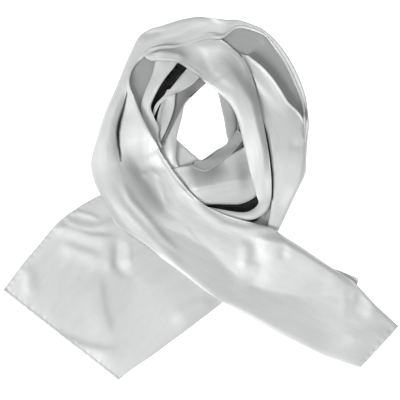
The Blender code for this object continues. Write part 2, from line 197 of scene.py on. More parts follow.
@dataclass
class Stretch:
    """One stretch of the cloth: its sizes in millimetres, and how it is built and dressed.

    Attributes:
        name: The name of its piece.
        nodes: The CAD nodes that it stands for.
        sections: Rows of first edge x, y, second edge x, y, first edge z, second edge z, crown.
        round_first: How far in from its first edge the cloth curves down.
        round_second: The same for its second edge.
        first: How its first edge ends.
        second: How its second edge ends.
        end_hems: Whether its start and its stop are hemmed.
        creases: Ridges and troughs laid on it.
        ramps: Slopes laid on it.
        painted_shades: Painted shade laid on it, in its slits, deep folds and shaded places.
        step: The distance between sections.
        across_step: The distance between points across a section.
        held: What holds it in its shape; not used.
        side: The side of the satin that shows.
        rolled: The share of its length, from the start, where its first edge rolls right down.
        fold_radius: How thick its rolled edges are, halved.
    """

    name: str
    nodes: tuple[str, ...]
    sections: Rows
    round_first: float = 12.0
    round_second: float = 12.0
    first: Edge = Edge.FOLD
    second: Edge = Edge.FOLD
    end_hems: tuple[bool, bool] = (False, False)
    creases: list[Crease] = field(default_factory=list)
    ramps: list[Ramp] = field(default_factory=list)
    painted_shades: list[PaintedShade] = field(default_factory=list)
    step: float = 4.0
    across_step: float = 2.2
    held: Held = Held.GATHERED
    side: Side = Side.FACE
    rolled: float = 0.0
    fold_radius: float = FOLD_RADIUS

    def build(self, heap: Heap, satins: dict[Side, bpy.types.Material], thread: bpy.types.Material) -> None:
        """Lays this stretch on the heap and makes its cloth and its stitches.

        Args:
            heap: What is laid already.
            satins: The satin's material for each of its sides.
            thread: The material of the stitches.
        """
        shell = Shell(self)
        heap.lay(shell)
        piece = mesh_object(self.name, shell.upper, shell.lower, shell.painted_shade, satins[self.side])
        seam = Stitches(shell)
        seam.sew()
        sewn = [seam.build(thread)] if seam.points else []
        self.dress(piece, sewn, shell.cut())

    def dress(self, piece: bpy.types.Object, sewn: list[bpy.types.Object], cut: tuple[float, float]) -> None:
        """Makes the cloth stand for its CAD nodes, puts it and its stitches on the body, and reports them.

        Args:
            piece: The cloth of this stretch.
            sewn: Its stitches, as one piece or none.
            cut: Its flat size in metres, across and along.
        """
        attach(piece, self.nodes)
        for stitches in sewn:
            attach(stitches, ())
        LOG.info("%s: %d points, cut %.3f by %.3f m", self.name, len(piece.data.vertices), *cut)


# Sections: first edge x, y, second edge x, y, first edge z, second edge z, crown
LEFT_TAIL = [
    (-336, -155, -140, -308, HEM_BASE, FOLD_RADIUS, 2),
    (-322, -136, -120, -292, HEM_BASE, FOLD_RADIUS, 4),
    (-300, -107, -86, -269, HEM_BASE, FOLD_RADIUS, 5),
    (-273, -75, -48, -241, HEM_BASE, FOLD_RADIUS, 5),
    (-242, -39, -9, -212, HEM_BASE, FOLD_RADIUS, 5),
    (-208, -14, 30, -182, HEM_BASE, FOLD_RADIUS, 4),
    (-171, 7, 64, -153, HEM_BASE, FOLD_RADIUS, 3),
    (-123, 29, 91, -124, HEM_BASE, FOLD_RADIUS, 2),
    (-82, 46, 111, -97, HEM_BASE, FOLD_RADIUS, 2),
]
LOWER_TURN = [
    (-72, 42, -52, -26, 3, 2, 1),
    (-38, 54, -20, -22, 7, 4, 3),
    (-16, 59, 1, -12, 8, 5, 5),
    (4, 62, 23, -9, 8, 5, 6),
    (26, 68, 47, -9, 8, 5, 6),
    (45, 75, 69, -8, 8, 5, 6),
    (64, 83, 91, 2, 8, 5, 5),
    (82, 94, 108, 19, 8, 5, 4),
]
NECK_PLEAT_LOW = [
    (-30, 175, -16, 172, 8, 5, 3),
    (-40, 156, -27, 158, 8, 5, 3),
    (-50, 136, -31, 139, 7, 6, 3),
    (-60, 116, -36, 121, 7, 9, 3),
    (-69, 97, -40, 104, 7, 11, 3),
    (-72, 78, -41, 85, 7, 12, 3),
    (-69, 60, -41, 66, 5, 9, 2),
    (-59, 41, -35, 48, 4, 5, 2),
]
NECK_PLEAT_BACK = [
    (-18, 219, 13, 206, 8, 5, 2),
    (-23, 204, 4, 192, 9, 5, 2),
    (-33, 189, -8, 182, 9, 4, 2),
    (-43, 175, -20, 171, 9, 4, 2),
    (-48, 160, -30, 158, 8, 4, 2),
    (-52, 144, -38, 143, 7, 4, 2),
    (-59, 128, -47, 126, 6, 4, 2),
    (-65, 110, -55, 109, 5, 4, 2),
    (-71, 95, -62, 94, 5, 4, 2),
]
NECK_PLEAT_LEAF = [
    (-57, 185, -40, 189, 8, 10, 2),
    (-64, 170, -43, 172, 8, 11, 3),
    (-69, 156, -44, 156, 8, 12, 3),
    (-73, 141, -48, 141, 8, 13, 3),
    (-76, 126, -53, 128, 8, 13, 3),
    (-76, 110, -59, 114, 8, 12, 3),
    (-76, 95, -65, 100, 6, 9, 3),
    (-72, 80, -67, 83, 4, 5, 2),
]
NECK_PLEAT_SLOPE = [
    (-13, 236, 9, 219, 8, 8, 3),
    (-23, 221, -3, 204, 9, 11, 4),
    (-35, 207, -16, 192, 9, 13, 5),
    (-48, 190, -33, 182, 9, 13, 4),
    (-64, 173, -52, 173, 8, 12, 4),
    (-76, 160, -67, 162, 7, 9, 3),
    (-82, 146, -76, 146, 6, 8, 3),
    (-86, 133, -81, 133, 6, 7, 3),
]
NECK_PLEAT_FRONT = [
    (-74, 246, -33, 240, 14, 17, 3),
    (-77, 231, -43, 224, 12, 19, 3),
    (-82, 211, -57, 207, 9, 18, 3),
    (-91, 189, -69, 189, 7, 16, 3),
    (-99, 168, -79, 170, 6, 14, 3),
    (-101, 155, -84, 156, 6, 12, 3),
    (-96, 138, -79, 139, 7, 11, 3),
    (-89, 117, -71, 121, 8, 10, 3),
    (-81, 99, -71, 104, 7, 8, 3),
    (-72, 83, -64, 88, 5, 6, 2),
]
RIGHT_LINING = [
    (84, 182, 50, 189, 5, 4, 2),
    (84, 151, 55, 158, 4, 4, 2),
    (84, 126, 60, 133, 3, 4, 2),
    (77, 104, 60, 109, 3, 4, 2),
    (67, 83, 52, 92, 3, 4, 2),
    (47, 66, 31, 75, 4, 4, 2),
]
RIGHT_PLEAT = [
    (50, 196, 21, 196, 8, 5, 2),
    (47, 173, 30, 177, 8, 5, 2),
    (55, 153, 35, 155, 7, 5, 2),
    (60, 133, 40, 133, 7, 5, 2),
    (59, 112, 43, 112, 7, 5, 2),
    (52, 94, 45, 95, 7, 5, 2),
    (31, 75, 25, 82, 7, 5, 2),
    (11, 60, 4, 67, 6, 5, 2),
    (-9, 53, -14, 63, 6, 5, 2),
]
RIM_LINING = [
    (179, 112, 156, 114, 7, 12, 1),
    (178, 148, 142, 144, 11, 15, 1),
    (167, 184, 122, 172, 14, 17, 1),
    (149, 226, 98, 199, 15, 18, 1),
    (128, 257, 77, 226, 15, 18, 1),
    (110, 279, 64, 240, 15, 17, 1),
    (77, 290, 43, 253, 13, 16, 1),
    (40, 292, 20, 258, 11, 15, 1),
    (18, 285, 4, 256, 10, 13, 1),
]
RIGHT_TURN = [
    (81, 241, 67, 245, 10, 6, 3),
    (103, 224, 76, 224, 10, 6, 3),
    (120, 206, 82, 201, 10, 6, 4),
    (135, 185, 87, 175, 10, 6, 6),
    (149, 163, 93, 151, 11, 9, 6),
    (168, 144, 101, 131, 10, 13, 5),
    (180, 118, 107, 109, 8, 14, 5),
    (181, 93, 112, 83, 10, 14, 5),
    (179, 66, 115, 58, 14, 14, 4),
    (178, 44, 117, 32, 14, 13, 4),
    (167, 20, 119, 7, 13, 12, 4),
    (156, -3, 119, -17, 11, 10, 4),
    (144, -29, 115, -39, 9, 8, 5),
    (130, -58, 105, -63, 6, 6, 5),
    (111, -87, 81, -87, 3, 4, 5),
]
INNER_TURN = [
    (-104, 258, -98, 244, 7, 6, 3),
    (-88, 258, -84, 234, 6, 8, 3),
    (-66, 268, -59, 232, 10, 9, 3),
    (-37, 279, -35, 228, 9, 9, 3),
    (-3, 284, -9, 211, 8, 8, 3),
    (30, 272, 13, 193, 7, 8, 3),
    (55, 253, 33, 178, 8, 9, 3),
    (76, 230, 50, 160, 8, 10, 4),
    (90, 197, 62, 136, 12, 9, 4),
    (99, 163, 69, 109, 16, 8, 4),
    (107, 124, 75, 82, 18, 8, 4),
    (114, 85, 82, 54, 16, 9, 4),
    (119, 44, 88, 27, 14, 9, 4),
    (120, 10, 95, 5, 13, 9, 4),
    (116, -13, 98, -7, 14, 10, 5),
    (105, -27, 89, -17, 12, 11, 5),
    (88, -35, 77, -22, 11, 12, 5),
    (64, -37, 62, -22, 10, 12, 4),
    (40, -29, 38, -18, 9, 11, 4),
    (14, -20, 14, -14, 8, 9, 3),
]
OUTER_TURN = [
    (178, 97, 173, 102, 8, 8, 1),
    (182, 124, 173, 133, 9, 8, 0.6),
    (178, 167, 171, 162, 10, 8, 0.6),
    (167, 201, 157, 194, 11, 8, 0.6),
    (152, 231, 144, 223, 12, 9, 0.6),
    (132, 260, 125, 253, 13, 9, 0.6),
    (106, 284, 108, 274, 14, 10, 0.6),
    (82, 295, 84, 285, 15, 11, 0.8),
    (62, 301, 60, 287, 16, 11, 1.2),
    (43, 301, 35, 269, 17, 11, 3),
    (21, 305, 11, 269, 17, 11, 3),
    (-4, 308, -14, 262, 16, 11, 3),
    (-35, 303, -43, 253, 14, 11, 3),
    (-64, 294, -67, 251, 11, 10, 4),
    (-88, 287, -86, 246, 9, 10, 4),
    (-105, 275, -98, 238, 8, 10, 4),
    (-116, 255, -109, 228, 7, 10, 4),
    (-127, 231, -117, 214, 6, 10, 4),
    (-139, 201, -120, 199, 6, 10, 4),
    (-150, 175, -117, 184, 6, 10, 4),
    (-161, 151, -111, 170, 5, 10, 5),
    (-169, 128, -104, 153, 4, 10, 5),
    (-176, 104, -91, 126, 4, 11, 5),
    (-184, 76, -75, 95, 4, 11, 4),
    (-186, 53, -59, 65, 6, 12, 2),
    (-178, 24, -40, 37, 9, 12, 1),
    (-161, -8, -18, 12, 11, 12, 1),
    (-144, -41, 4, -8, 12, 12, 1),
    (-118, -63, 26, -20, 12, 12, 1),
    (-88, -84, 48, -29, 11, 12, 2),
    (-57, -107, 72, -36, 9, 12, 4),
    (-26, -130, 96, -42, 8, 11, 5),
    (4, -153, 120, -49, 6, 9, 6),
    (37, -175, 145, -65, 4, 7, 5),
    (76, -197, 174, -83, 3, 5, 6),
    (118, -221, 203, -103, 2.5, 4, 6),
    (161, -243, 230, -121, 2.2, 3.5, 4),
    (203, -263, 258, -139, 2.2, 3, 3),
    (241, -277, 295, -177, 2.2, 3.5, 5),
    (271, -287, 336, -216, 2.2, 3, 3),
]
LEFT_TAIL_PANEL = [
    (-332, -155, -141, -303, 1.5, 1.5, 0),
    (-243, -46, -16, -206, 1.5, 1.5, 0),
    (-174, 1, 56, -150, 1.5, 1.5, 0),
    (-100, 34, 92, -112, 1.5, 1.5, 0),
]
RIGHT_TAIL_PANEL = [
    (88, -182, 138, -98, 1.5, 1.5, 0),
    (124, -206, 176, -92, 1.5, 1.5, 0),
    (166, -231, 206, -110, 1.5, 3.5, 0),
    (208, -253, 242, -124, 1.5, 7, 0),
    (238, -262, 268, -135, 1.5, 8, 0),
]
NECK_FLOOR = [
    (-69, 100, -48, 116, 3, 2, 2),
    (-64, 80, -40, 102, 3, 2, 3),
    (-50, 61, -28, 90, 3, 2, 3),
    (-28, 46, -13, 77, 3, 2, 3),
    (-1, 42, 4, 65, 3, 2, 3),
    (26, 49, 21, 73, 3, 2, 2),
]
COLLAR_LINING = [
    (-91, 254, -69, 243, 6, 5, 1),
    (-110, 236, -74, 226, 7, 5, 1),
    (-121, 215, -79, 206, 9, 5, 1),
    (-126, 196, -88, 185, 13, 5, 1),
    (-122, 177, -94, 167, 13, 5, 1),
    (-115, 160, -98, 151, 11, 6, 1),
    (-105, 141, -94, 136, 8, 6, 1),
]
HEM_ARM = [
    (-10, 66, -12, 52, 8, 9, 2),
    (6, 66, 9, 46, 8, 9, 2),
    (21, 76, 30, 58, 7, 9, 3),
    (37, 87, 47, 71, 7, 9, 3),
    (50, 100, 62, 86, 7, 8, 3),
    (62, 118, 76, 104, 7, 7, 2),
]
# The hidden layers: outer x, y, inner x, y
HIDDEN_RING = [
    (-150, 20, -58, 72),
    (-164, 60, -52, 92),
    (-158, 100, -46, 116),
    (-142, 148, -41, 142),
    (-120, 192, -30, 159),
    (-98, 232, -12, 177),
    (-78, 252, 2, 190),
    (-46, 270, 11, 197),
    (-1, 280, 22, 192),
    (52, 276, 32, 184),
    (88, 258, 40, 170),
    (118, 230, 46, 152),
    (142, 196, 50, 130),
    (156, 150, 54, 110),
    (162, 100, 56, 98),
    (160, 50, 56, 88),
    (148, 10, 52, 82),
    (134, -30, 46, 76),
    (112, -66, 38, 70),
    (70, -72, 26, 62),
    (30, -60, 14, 56),
    (-10, -40, 2, 54),
    (-50, -20, -10, 58),
    (-100, 0, -26, 66),
    (-138, 10, -44, 72),
    (-150, 20, -58, 72),
]

# From the lowest up. A Crease is width, rise, line, other width, fade; a Ramp is rise, low, high, back,
# fade; a PaintedShade is width, darkness, line, fade, and paints shade into the satin's colour.
STRETCHES = [
    Stretch(
        "left_tail_underlayer", ("left_tail_panel",), LEFT_TAIL_PANEL, first=Edge.HEM, second=Edge.RAW,
        end_hems=(True, False), held=Held.LAID, step=8.0, across_step=6.0,
    ),
    Stretch(
        "right_tail_underlayer", ("right_tail_panel",), RIGHT_TAIL_PANEL, first=Edge.RAW, second=Edge.HEM,
        end_hems=(False, True), held=Held.LAID, step=8.0, across_step=6.0,
    ),
    Stretch(
        "left_tail_cloth", ("left_tail",), LEFT_TAIL, round_first=18.0, round_second=12.0, first=Edge.HEM,
        end_hems=(True, False), held=Held.FOLDED, step=3.0,
        creases=[
            Crease(6, 3.0, [(-263, -46), (-239, -46), (-213, -54), (-184, -63), (-137, -68)], 13, 0.25),
            Crease(8, 2.2, [(-242, -75), (-213, -85), (-188, -94), (-161, -102)], 13, 0.3),
            Crease(
                8, 2.6,
                [(-232, -22), (-222, -39), (-205, -46), (-184, -49), (-164, -46), (-140, -32)],
                6, 0.25,
            ),
            Crease(4, 1.5, [(-225, -27), (-208, -22), (-188, -27), (-166, -37)], 5, 0.3),
            Crease(13, -2.8, [(-139, -65), (-144, -87), (-144, -107), (-135, -121), (-116, -128)], 8, 0.3),
            Crease(6, 1.2, [(-122, -66), (-120, -117)], 6, 0.3),
            Crease(6, 2.4, [(-147, -68), (-150, -97), (-156, -128)], 24, 0.4),
            Crease(9, 2.6, [(-176, -121), (-171, -155), (-167, -185), (-159, -216), (-152, -243)], 30, 0.3),
            Crease(7, 2.2, [(-252, -216), (-230, -235), (-201, -250), (-161, -258), (-130, -253)], 16, 0.3),
            Crease(11, 2.2, [(-300, -107), (-290, -134), (-288, -168)], 12, 0.35),
            Crease(14, 3.0, [(-52, -209), (-8, -182), (30, -168)], 14, 0.3),
        ],
    ),
    Stretch("neck_floor_cloth", (), NECK_FLOOR, round_first=5.0, round_second=4.0, first=Edge.RAW),
    Stretch(
        "rim_lining_cloth", ("rim_lining",), RIM_LINING, round_first=8.0, round_second=8.0, first=Edge.RAW,
        second=Edge.RAW, side=Side.REVERSE,
        creases=[
            Crease(6, 2.5, [(107, 280), (108, 262)]),
        ],
    ),
    Stretch(
        "right_lining_cloth", ("right_lining",), RIGHT_LINING, round_first=10.0, round_second=8.0,
        first=Edge.RAW, side=Side.REVERSE,
        # Painted shade on the lining deep in the loop
        painted_shades=[
            PaintedShade(24, 0.5, [(64, 175), (72, 138), (74, 83)], soft=True),
        ],
    ),
    Stretch(
        "right_pleat_cloth", ("right_pleat",), RIGHT_PLEAT, round_first=8.0, round_second=5.0,
        first=Edge.RAW, side=Side.REVERSE,
        # Painted shade along the pleat's hollow
        painted_shades=[
            PaintedShade(16, 0.4, [(60, 150), (68, 117), (62, 92)], soft=True),
        ],
    ),
    Stretch(
        "neck_pleat_low_cloth", ("neck_pleat_low",), NECK_PLEAT_LOW, round_first=8.0, round_second=4.0,
        first=Edge.RAW,
        creases=[
            Crease(4, 1.5, [(-50, 112), (-48, 80), (-46, 54)]),
        ],
    ),
    Stretch(
        "lower_turn_cloth", ("lower_turn",), LOWER_TURN, round_first=6.0, round_second=10.0, first=Edge.HEM,
        second=Edge.RAW,
        creases=[
            Crease(26, 12, [(-28, 14), (-1, 19), (25, 24), (54, 29), (84, 34)], 10, facet=True),
            Crease(4, 1.5, [(0, 12), (40, 14), (80, 22)]),
        ],
        # Painted shade under the loop's wall and beside the hem
        painted_shades=[
            PaintedShade(30, 0.5, [(-28, 60), (-8, 46), (13, 46), (42, 61)], soft=True),
            PaintedShade(14, 0.15, [(-8, 2), (42, -3), (77, 2)], soft=True),
            PaintedShade(22, 0.25, [(81, 83), (77, 58), (88, 36)], soft=True),
        ],
    ),
    Stretch(
        "hem_arm_cloth", (), HEM_ARM, round_first=4.0, round_second=5.0, second=Edge.HEM, side=Side.REVERSE,
    ),
    Stretch(
        "neck_pleat_back_cloth", ("neck_pleat_back",), NECK_PLEAT_BACK, round_first=8.0, round_second=4.0,
        first=Edge.RAW, side=Side.REVERSE,
        # Painted shade along the back pleat, deep in the loop
        painted_shades=[
            PaintedShade(24, 0.45, [(4, 216), (-14, 185), (-35, 155), (-48, 121), (-60, 92)], soft=True),
        ],
    ),
    Stretch(
        "neck_pleat_leaf_cloth", ("neck_pleat_leaf",), NECK_PLEAT_LEAF, round_first=5.0, round_second=3.0,
        creases=[
            Crease(7, -5, [(-54, 183), (-58, 160), (-63, 140), (-68, 118), (-72, 95)], 6),
        ],
        # Painted shade on the leaf's left half
        painted_shades=[
            PaintedShade(9, 0.22, [(-68, 172), (-65, 143), (-70, 118)], 0.3, soft=True),
        ],
    ),
    Stretch(
        "neck_pleat_slope_cloth", ("neck_pleat_slope",), NECK_PLEAT_SLOPE, round_first=6.0,
        round_second=4.0,
    ),
    Stretch(
        "collar_lining_cloth", (), COLLAR_LINING, round_first=4.0, round_second=4.0, first=Edge.RAW,
        second=Edge.RAW, side=Side.REVERSE,
    ),
    Stretch(
        "neck_pleat_front_cloth", ("neck_pleat_front",), NECK_PLEAT_FRONT, round_first=8.0,
        round_second=6.0,
        creases=[
            Crease(7, 1.5, [(-60, 235), (-66, 210), (-80, 180)]),
        ],
    ),
    Stretch(
        "right_turn_cloth", ("right_turn",), RIGHT_TURN, round_first=10.0, round_second=10.0, rolled=1.0,
        # Painted shade beside the inner turn and on the right side, and a near-black painted slit under the
        # inner turn's edge
        painted_shades=[
            PaintedShade(18, 0.2, [(75, 232), (88, 202), (100, 168), (109, 132)], 0.4, soft=True),
            PaintedShade(24, 0.14, [(140, 180), (154, 156), (168, 128)], 0.5, soft=True),
            PaintedShade(4.5, 1.0, [(101, 141), (110, 109), (116, 75), (120, 41), (122, -2)], 0.3),
        ],
        ramps=[
            Ramp(
                7,
                [(111, 162), (118, 128), (122, 66), (123, 15), (125, -46)],
                [(161, 168), (169, 121), (174, 73), (166, 29), (144, -32)],
                10, 0.3,
            ),
        ],
        creases=[
            Crease(9, 2.5, [(74, 241), (105, 209), (130, 180), (152, 148), (162, 117)], 16, 0.35),
            Crease(8, -2.0, [(178, 98), (166, 90), (150, 92)]),
        ],
    ),
    Stretch(
        "inner_turn_cloth", ("inner_turn",), INNER_TURN, round_first=7.0, round_second=14.0,
        fold_radius=1.2,
        # Painted shade along the valley towards the right turn
        painted_shades=[
            PaintedShade(30, 0.38, [(30, 250), (62, 225), (84, 196), (98, 166), (106, 138)], 0.4, soft=True),
        ],
        ramps=[
            Ramp(
                12,
                [(120, 15), (115, 83), (101, 162), (89, 196), (76, 230), (55, 253), (23, 274)],
                [(110, 15), (105, 83), (84, 165), (62, 199), (40, 230), (20, 253), (-1, 267)],
                50, 0.35,
            ),
        ],
        creases=[
            Crease(5, -1.6, [(4, 267), (6, 236), (18, 212), (37, 194), (64, 177)], 8, 0.3),
        ],
    ),
    Stretch(
        "outer_turn_cloth", ("outer_turn",), OUTER_TURN, round_first=9.0, round_second=7.0,
        end_hems=(False, True), rolled=0.5, step=3.4, across_step=1.5,
        # Painted shade: a near-black slit on the left, and the dark hollow that it runs out into
        painted_shades=[
            PaintedShade(
                3.8, 1.0,
                [(-124, 181), (-130, 155), (-137, 131), (-140, 112), (-139, 92), (-134, 62)],
                0.5,
            ),
            PaintedShade(36, 0.32, [(-130, 66), (-116, 42), (-98, 16), (-80, -8), (-66, -26)], 0.4, soft=True),
        ],
        ramps=[
            # Up from the slit, up from the left side, and both sides of the tail's valley
            Ramp(
                7.5,
                [(-122, 206), (-132, 158), (-139, 124), (-140, 97), (-135, 63), (-120, 26)],
                [(-118, 196), (-106, 158), (-89, 122), (-76, 97), (-59, 70), (-35, 39)],
                8, 0.5,
            ),
            Ramp(
                4.5,
                [(-113, 246), (-137, 199), (-164, 151), (-178, 109), (-184, 66), (-183, 46), (-171, 20),
                 (-154, -8)],
                [(-106, 233), (-127, 189), (-144, 151), (-154, 117), (-159, 83), (-157, 54), (-147, 31),
                 (-133, 5)],
                34, 0.35,
            ),
            Ramp(
                13,
                [(36, -132), (66, -141), (105, -153), (169, -165), (207, -168), (258, -170), (282, -172)],
                [(70, -62), (105, -70), (142, -78), (173, -95), (207, -117), (258, -151), (280, -160)],
                13, 0.26,
            ),
            Ramp(
                3,
                [(246, -168), (169, -165), (105, -153), (60, -134), (13, -85), (-23, -65)],
                [(275, -277), (203, -257), (132, -230), (67, -192), (8, -155), (-42, -114)],
                8, 0.25,
            ),
        ],
        creases=[
            # The slit on the left, and the hollow that it runs out into
            Crease(
                14, -9,
                [(-123, 196), (-130, 162), (-137, 131), (-140, 107), (-140, 83), (-133, 49)],
                6, 0.4, facet=True,
            ),
            Crease(36, -15, [(-127, 94), (-105, 58), (-82, 31), (-65, 5), (-52, -15), (-31, -39)], 15, 0.4),
            # Ridges along the crossing
            Crease(
                8, 2.2,
                [(-150, 20), (-134, -8), (-110, -36), (-82, -66), (-52, -97), (-14, -133)],
                8, 0.25,
            ),
            Crease(6, 3.2, [(-135, 36), (-118, -2), (-91, -32), (-64, -66), (-31, -94)], 8, 0.25),
            Crease(6, -1.0, [(-174, 26), (-154, -8), (-133, -39), (-108, -68), (-79, -94)], 8, 0.2),
            # The long valley of the tail
            Crease(
                20, -6,
                [(-89, -22), (-60, -49), (-23, -65), (13, -85), (40, -112), (67, -141), (105, -153),
                 (169, -165), (247, -168)],
                36, 0.12, facet=True,
            ),
            # Dents where the crossing meets the tail
            Crease(6, 2.6, [(-25, 12), (8, -20), (37, -41), (76, -51), (122, -51), (142, -61)], 10, 0.2),
            Crease(9, 3.0, [(76, -66), (76, -97), (73, -124)], 10, 0.3),
            Crease(10, -2.6, [(94, -62), (94, -92), (96, -118)], 10, 0.3),
            Crease(
                8, -1.2,
                [(74, -138), (98, -133), (105, -110), (106, -94), (125, -76), (145, -63)],
                16, 0.2,
            ),
            Crease(7, -1.5, [(145, -73), (139, -90), (142, -107)], 7, 0.3),
            # The tail's end
            Crease(14, -5.0, [(251, -144), (259, -172), (254, -206)], 9, 0.35),
            Crease(14, 3.6, [(288, -151), (292, -180), (286, -209)], 12, 0.35),
            Crease(13, 2.4, [(234, -238), (275, -235), (329, -226)], 13, 0.3),
            # Creases over the top
            Crease(5, -2.4, [(-105, 275), (-86, 280), (-59, 287)], 6, 0.35),
            Crease(5, -1.6, [(-89, 252), (-60, 267), (-35, 277), (-9, 289), (16, 294)], 8, 0.3),
        ],
    ),
]


def eased(share: np.ndarray) -> np.ndarray:
    """Gives a share a soft start and a soft stop.

    Args:
        share: Values from 0 to 1.

    Returns:
        The eased values, from 0 to 1.
    """
    return share * share * (3 - 2 * share)


def running_length(points: np.ndarray) -> np.ndarray:
    """Measures how far along a line each of its points lies.

    Args:
        points: The points of the line, one a row.

    Returns:
        The length from the first point up to each one.
    """
    return np.concatenate([[0.0], np.cumsum(np.linalg.norm(np.diff(points, axis=0), axis=1))])


def smooth_rows(rows: Rows, spacing: float, hemmed: tuple[bool, bool] = (False, False)) -> tuple:
    """Joins rows by a smooth curve and samples it along its middle, closer together at a hemmed end.

    Args:
        rows: Sections that start with the x and y of their two edges.
        spacing: The distance between samples.
        hemmed: Whether the start and the stop are hemmed.

    Returns:
        The sampled rows, and how far along the middle each lies.
    """
    table = np.array(rows, float)
    ends = np.vstack([2 * table[0] - table[1], table, 2 * table[-1] - table[-2]])
    shares = np.linspace(0.0, 1.0, CURVE_STEPS + 1)[:-1][:, None]
    parts = []
    for before, start, stop, after in zip(ends[:-3], ends[1:-2], ends[2:-1], ends[3:]):
        straight = (stop - before) * shares
        bend = (2 * before - 5 * start + 4 * stop - after) * shares**2
        twist = (3 * start - before - 3 * stop + after) * shares**3
        parts.append(0.5 * (2 * start + straight + bend + twist))
    fine = np.vstack(parts + [table[-1:]])
    middle = (fine[:, 0:2] + fine[:, 2:4]) / 2
    run = np.concatenate([[0.0], np.cumsum(np.hypot(*np.diff(middle, axis=0).T))])
    length = run[-1]
    near = np.arange(0.0, HEM_END_WIDTHS * HEM_WIDTH, HEM_END_STEP)
    low = near[-1] + HEM_END_STEP if hemmed[0] else 0.0
    high = length - (near[-1] + HEM_END_STEP) if hemmed[1] else length
    places = np.linspace(low, high, max(3, int(round((high - low) / spacing)) + 1))
    if hemmed[0]:
        places = np.concatenate([near, places])
    if hemmed[1]:
        places = np.concatenate([places, length - near[::-1]])
    return np.column_stack([np.interp(places, run, column) for column in fine.T]), places


def distance_to_line(places: np.ndarray, line: Line) -> tuple[np.ndarray, np.ndarray, np.ndarray]:
    """Finds where places in plan lie beside a line.

    Args:
        places: Points in plan, one a row.
        line: The points of the line.

    Returns:
        Each place's distance from the line, its share along it from 0 to 1, and whether it is on the left.
    """
    points = np.array(line, float)
    starts, runs = points[:-1], np.diff(points, axis=0)
    lengths = np.hypot(*runs.T)
    before = np.concatenate([[0.0], np.cumsum(lengths)])
    away = places[:, None, :] - starts[None]
    share = np.clip((away * runs).sum(-1) / lengths**2, 0.0, 1.0)
    rest = away - share[..., None] * runs
    gaps = np.hypot(rest[..., 0], rest[..., 1])
    nearest = gaps.argmin(axis=1)
    rows = np.arange(len(places))
    along = (before[nearest] + share[rows, nearest] * lengths[nearest]) / before[-1]
    side = runs[nearest, 0] * away[rows, nearest, 1] - runs[nearest, 1] * away[rows, nearest, 0]
    return gaps[rows, nearest], along, side >= 0


def crease_heights(places: np.ndarray, creases: list[Crease]) -> np.ndarray:
    """Adds up how much creases raise or lower places.

    Args:
        places: Points in plan, one a row.
        creases: The creases of the stretch.

    Returns:
        The height to add at each place.
    """
    total = np.zeros(len(places))
    for crease in creases:
        gap, along, on_left = distance_to_line(places, crease.line)
        width = np.where(on_left, crease.width, crease.other_width or crease.width)
        inside = np.clip(np.minimum(along, 1.0 - along) / crease.fade, 0.0, 1.0)
        fade = CREASE_REST + (1.0 - CREASE_REST) * eased(inside)
        if crease.facet:
            shape = np.exp(-(np.sqrt((gap / width) ** 2 + FACET_ROUNDING) - FACET_PEAK))
        else:
            shape = np.exp(-((gap / width) ** 2))
        total += crease.rise * fade * shape
    return total


def ramp_heights(places: np.ndarray, ramps: list[Ramp]) -> np.ndarray:
    """Adds up how much ramps raise places.

    Args:
        places: Points in plan, one a row.
        ramps: The ramps of the stretch.

    Returns:
        The height to add at each place.
    """
    total = np.zeros(len(places))
    for ramp in ramps:
        low_gap, low_along, past_low = distance_to_line(places, ramp.low)
        high_gap, high_along, past_high = distance_to_line(places, ramp.high)
        share = low_gap / (low_gap + high_gap + 0.001)
        share = RAMP_STRAIGHT * share + (1.0 - RAMP_STRAIGHT) * eased(share)
        height = np.where(past_high, np.exp(-((high_gap / ramp.back) ** 2)), share) * past_low
        low_end = np.minimum(low_along, 1.0 - low_along)
        high_end = np.minimum(high_along, 1.0 - high_along)
        total += ramp.rise * height * eased(np.clip(np.minimum(low_end, high_end) / ramp.fade, 0.0, 1.0))
    return total


def painted_shade_amounts(places: np.ndarray, painted_shades: list[PaintedShade]) -> np.ndarray:
    """Finds how much painted shade each place gets.

    Args:
        places: Points in plan, one a row.
        painted_shades: The painted shades of the stretch.

    Returns:
        The painted shade at each place, from 0 to 1.
    """
    darkest = np.zeros(len(places))
    for shade in painted_shades:
        gap, along, _ = distance_to_line(places, shade.line)
        taper = np.clip(np.minimum(along, 1.0 - along) / shade.fade, 0.0, 1.0) ** 0.5
        if shade.soft:
            inside = taper * np.exp(-((SOFT_SHADE_FALL * gap / shade.width) ** 2))
        else:
            inside = np.clip(SLIT_SHADE_CORE - SLIT_SHADE_FALL * gap / np.maximum(shade.width * taper, 0.01), 0.0, 1.0)
        darkest = np.maximum(darkest, shade.depth * inside)
    return darkest


def quarter_round(distance: np.ndarray, reach: float) -> np.ndarray:
    """Rises along a quarter of an ellipse.

    Args:
        distance: How far in from the edge each point lies.
        reach: Where the rise ends.

    Returns:
        0 at the edge, up to 1 from reach inwards.
    """
    inside = np.clip(distance / reach, 0.0, 1.0)
    return np.sqrt(np.clip(1.0 - (1.0 - inside) ** 2, 0.0, 1.0))


def edge_zone(kind: Edge) -> np.ndarray:
    """Gives the distances in from an edge where its shape needs points."""
    return np.array({Edge.HEM: HEM_ZONE, Edge.FOLD: FOLD_ZONE, Edge.RAW: (0.0,)}[kind])


def hem_profile(distance: np.ndarray) -> np.ndarray:
    """Gives the thickness that a rolled hem adds.

    Args:
        distance: How far in from the edge each point lies.

    Returns:
        The height to add at each point.
    """
    inside = np.clip(distance / HEM_WIDTH, 0.0, 1.0)
    roll = np.sqrt(np.clip(1.0 - (2 * inside - 1.0) ** 2, 0.0, 1.0))
    return HEM_RISE * np.where(distance < HEM_WIDTH, roll, 0.0)


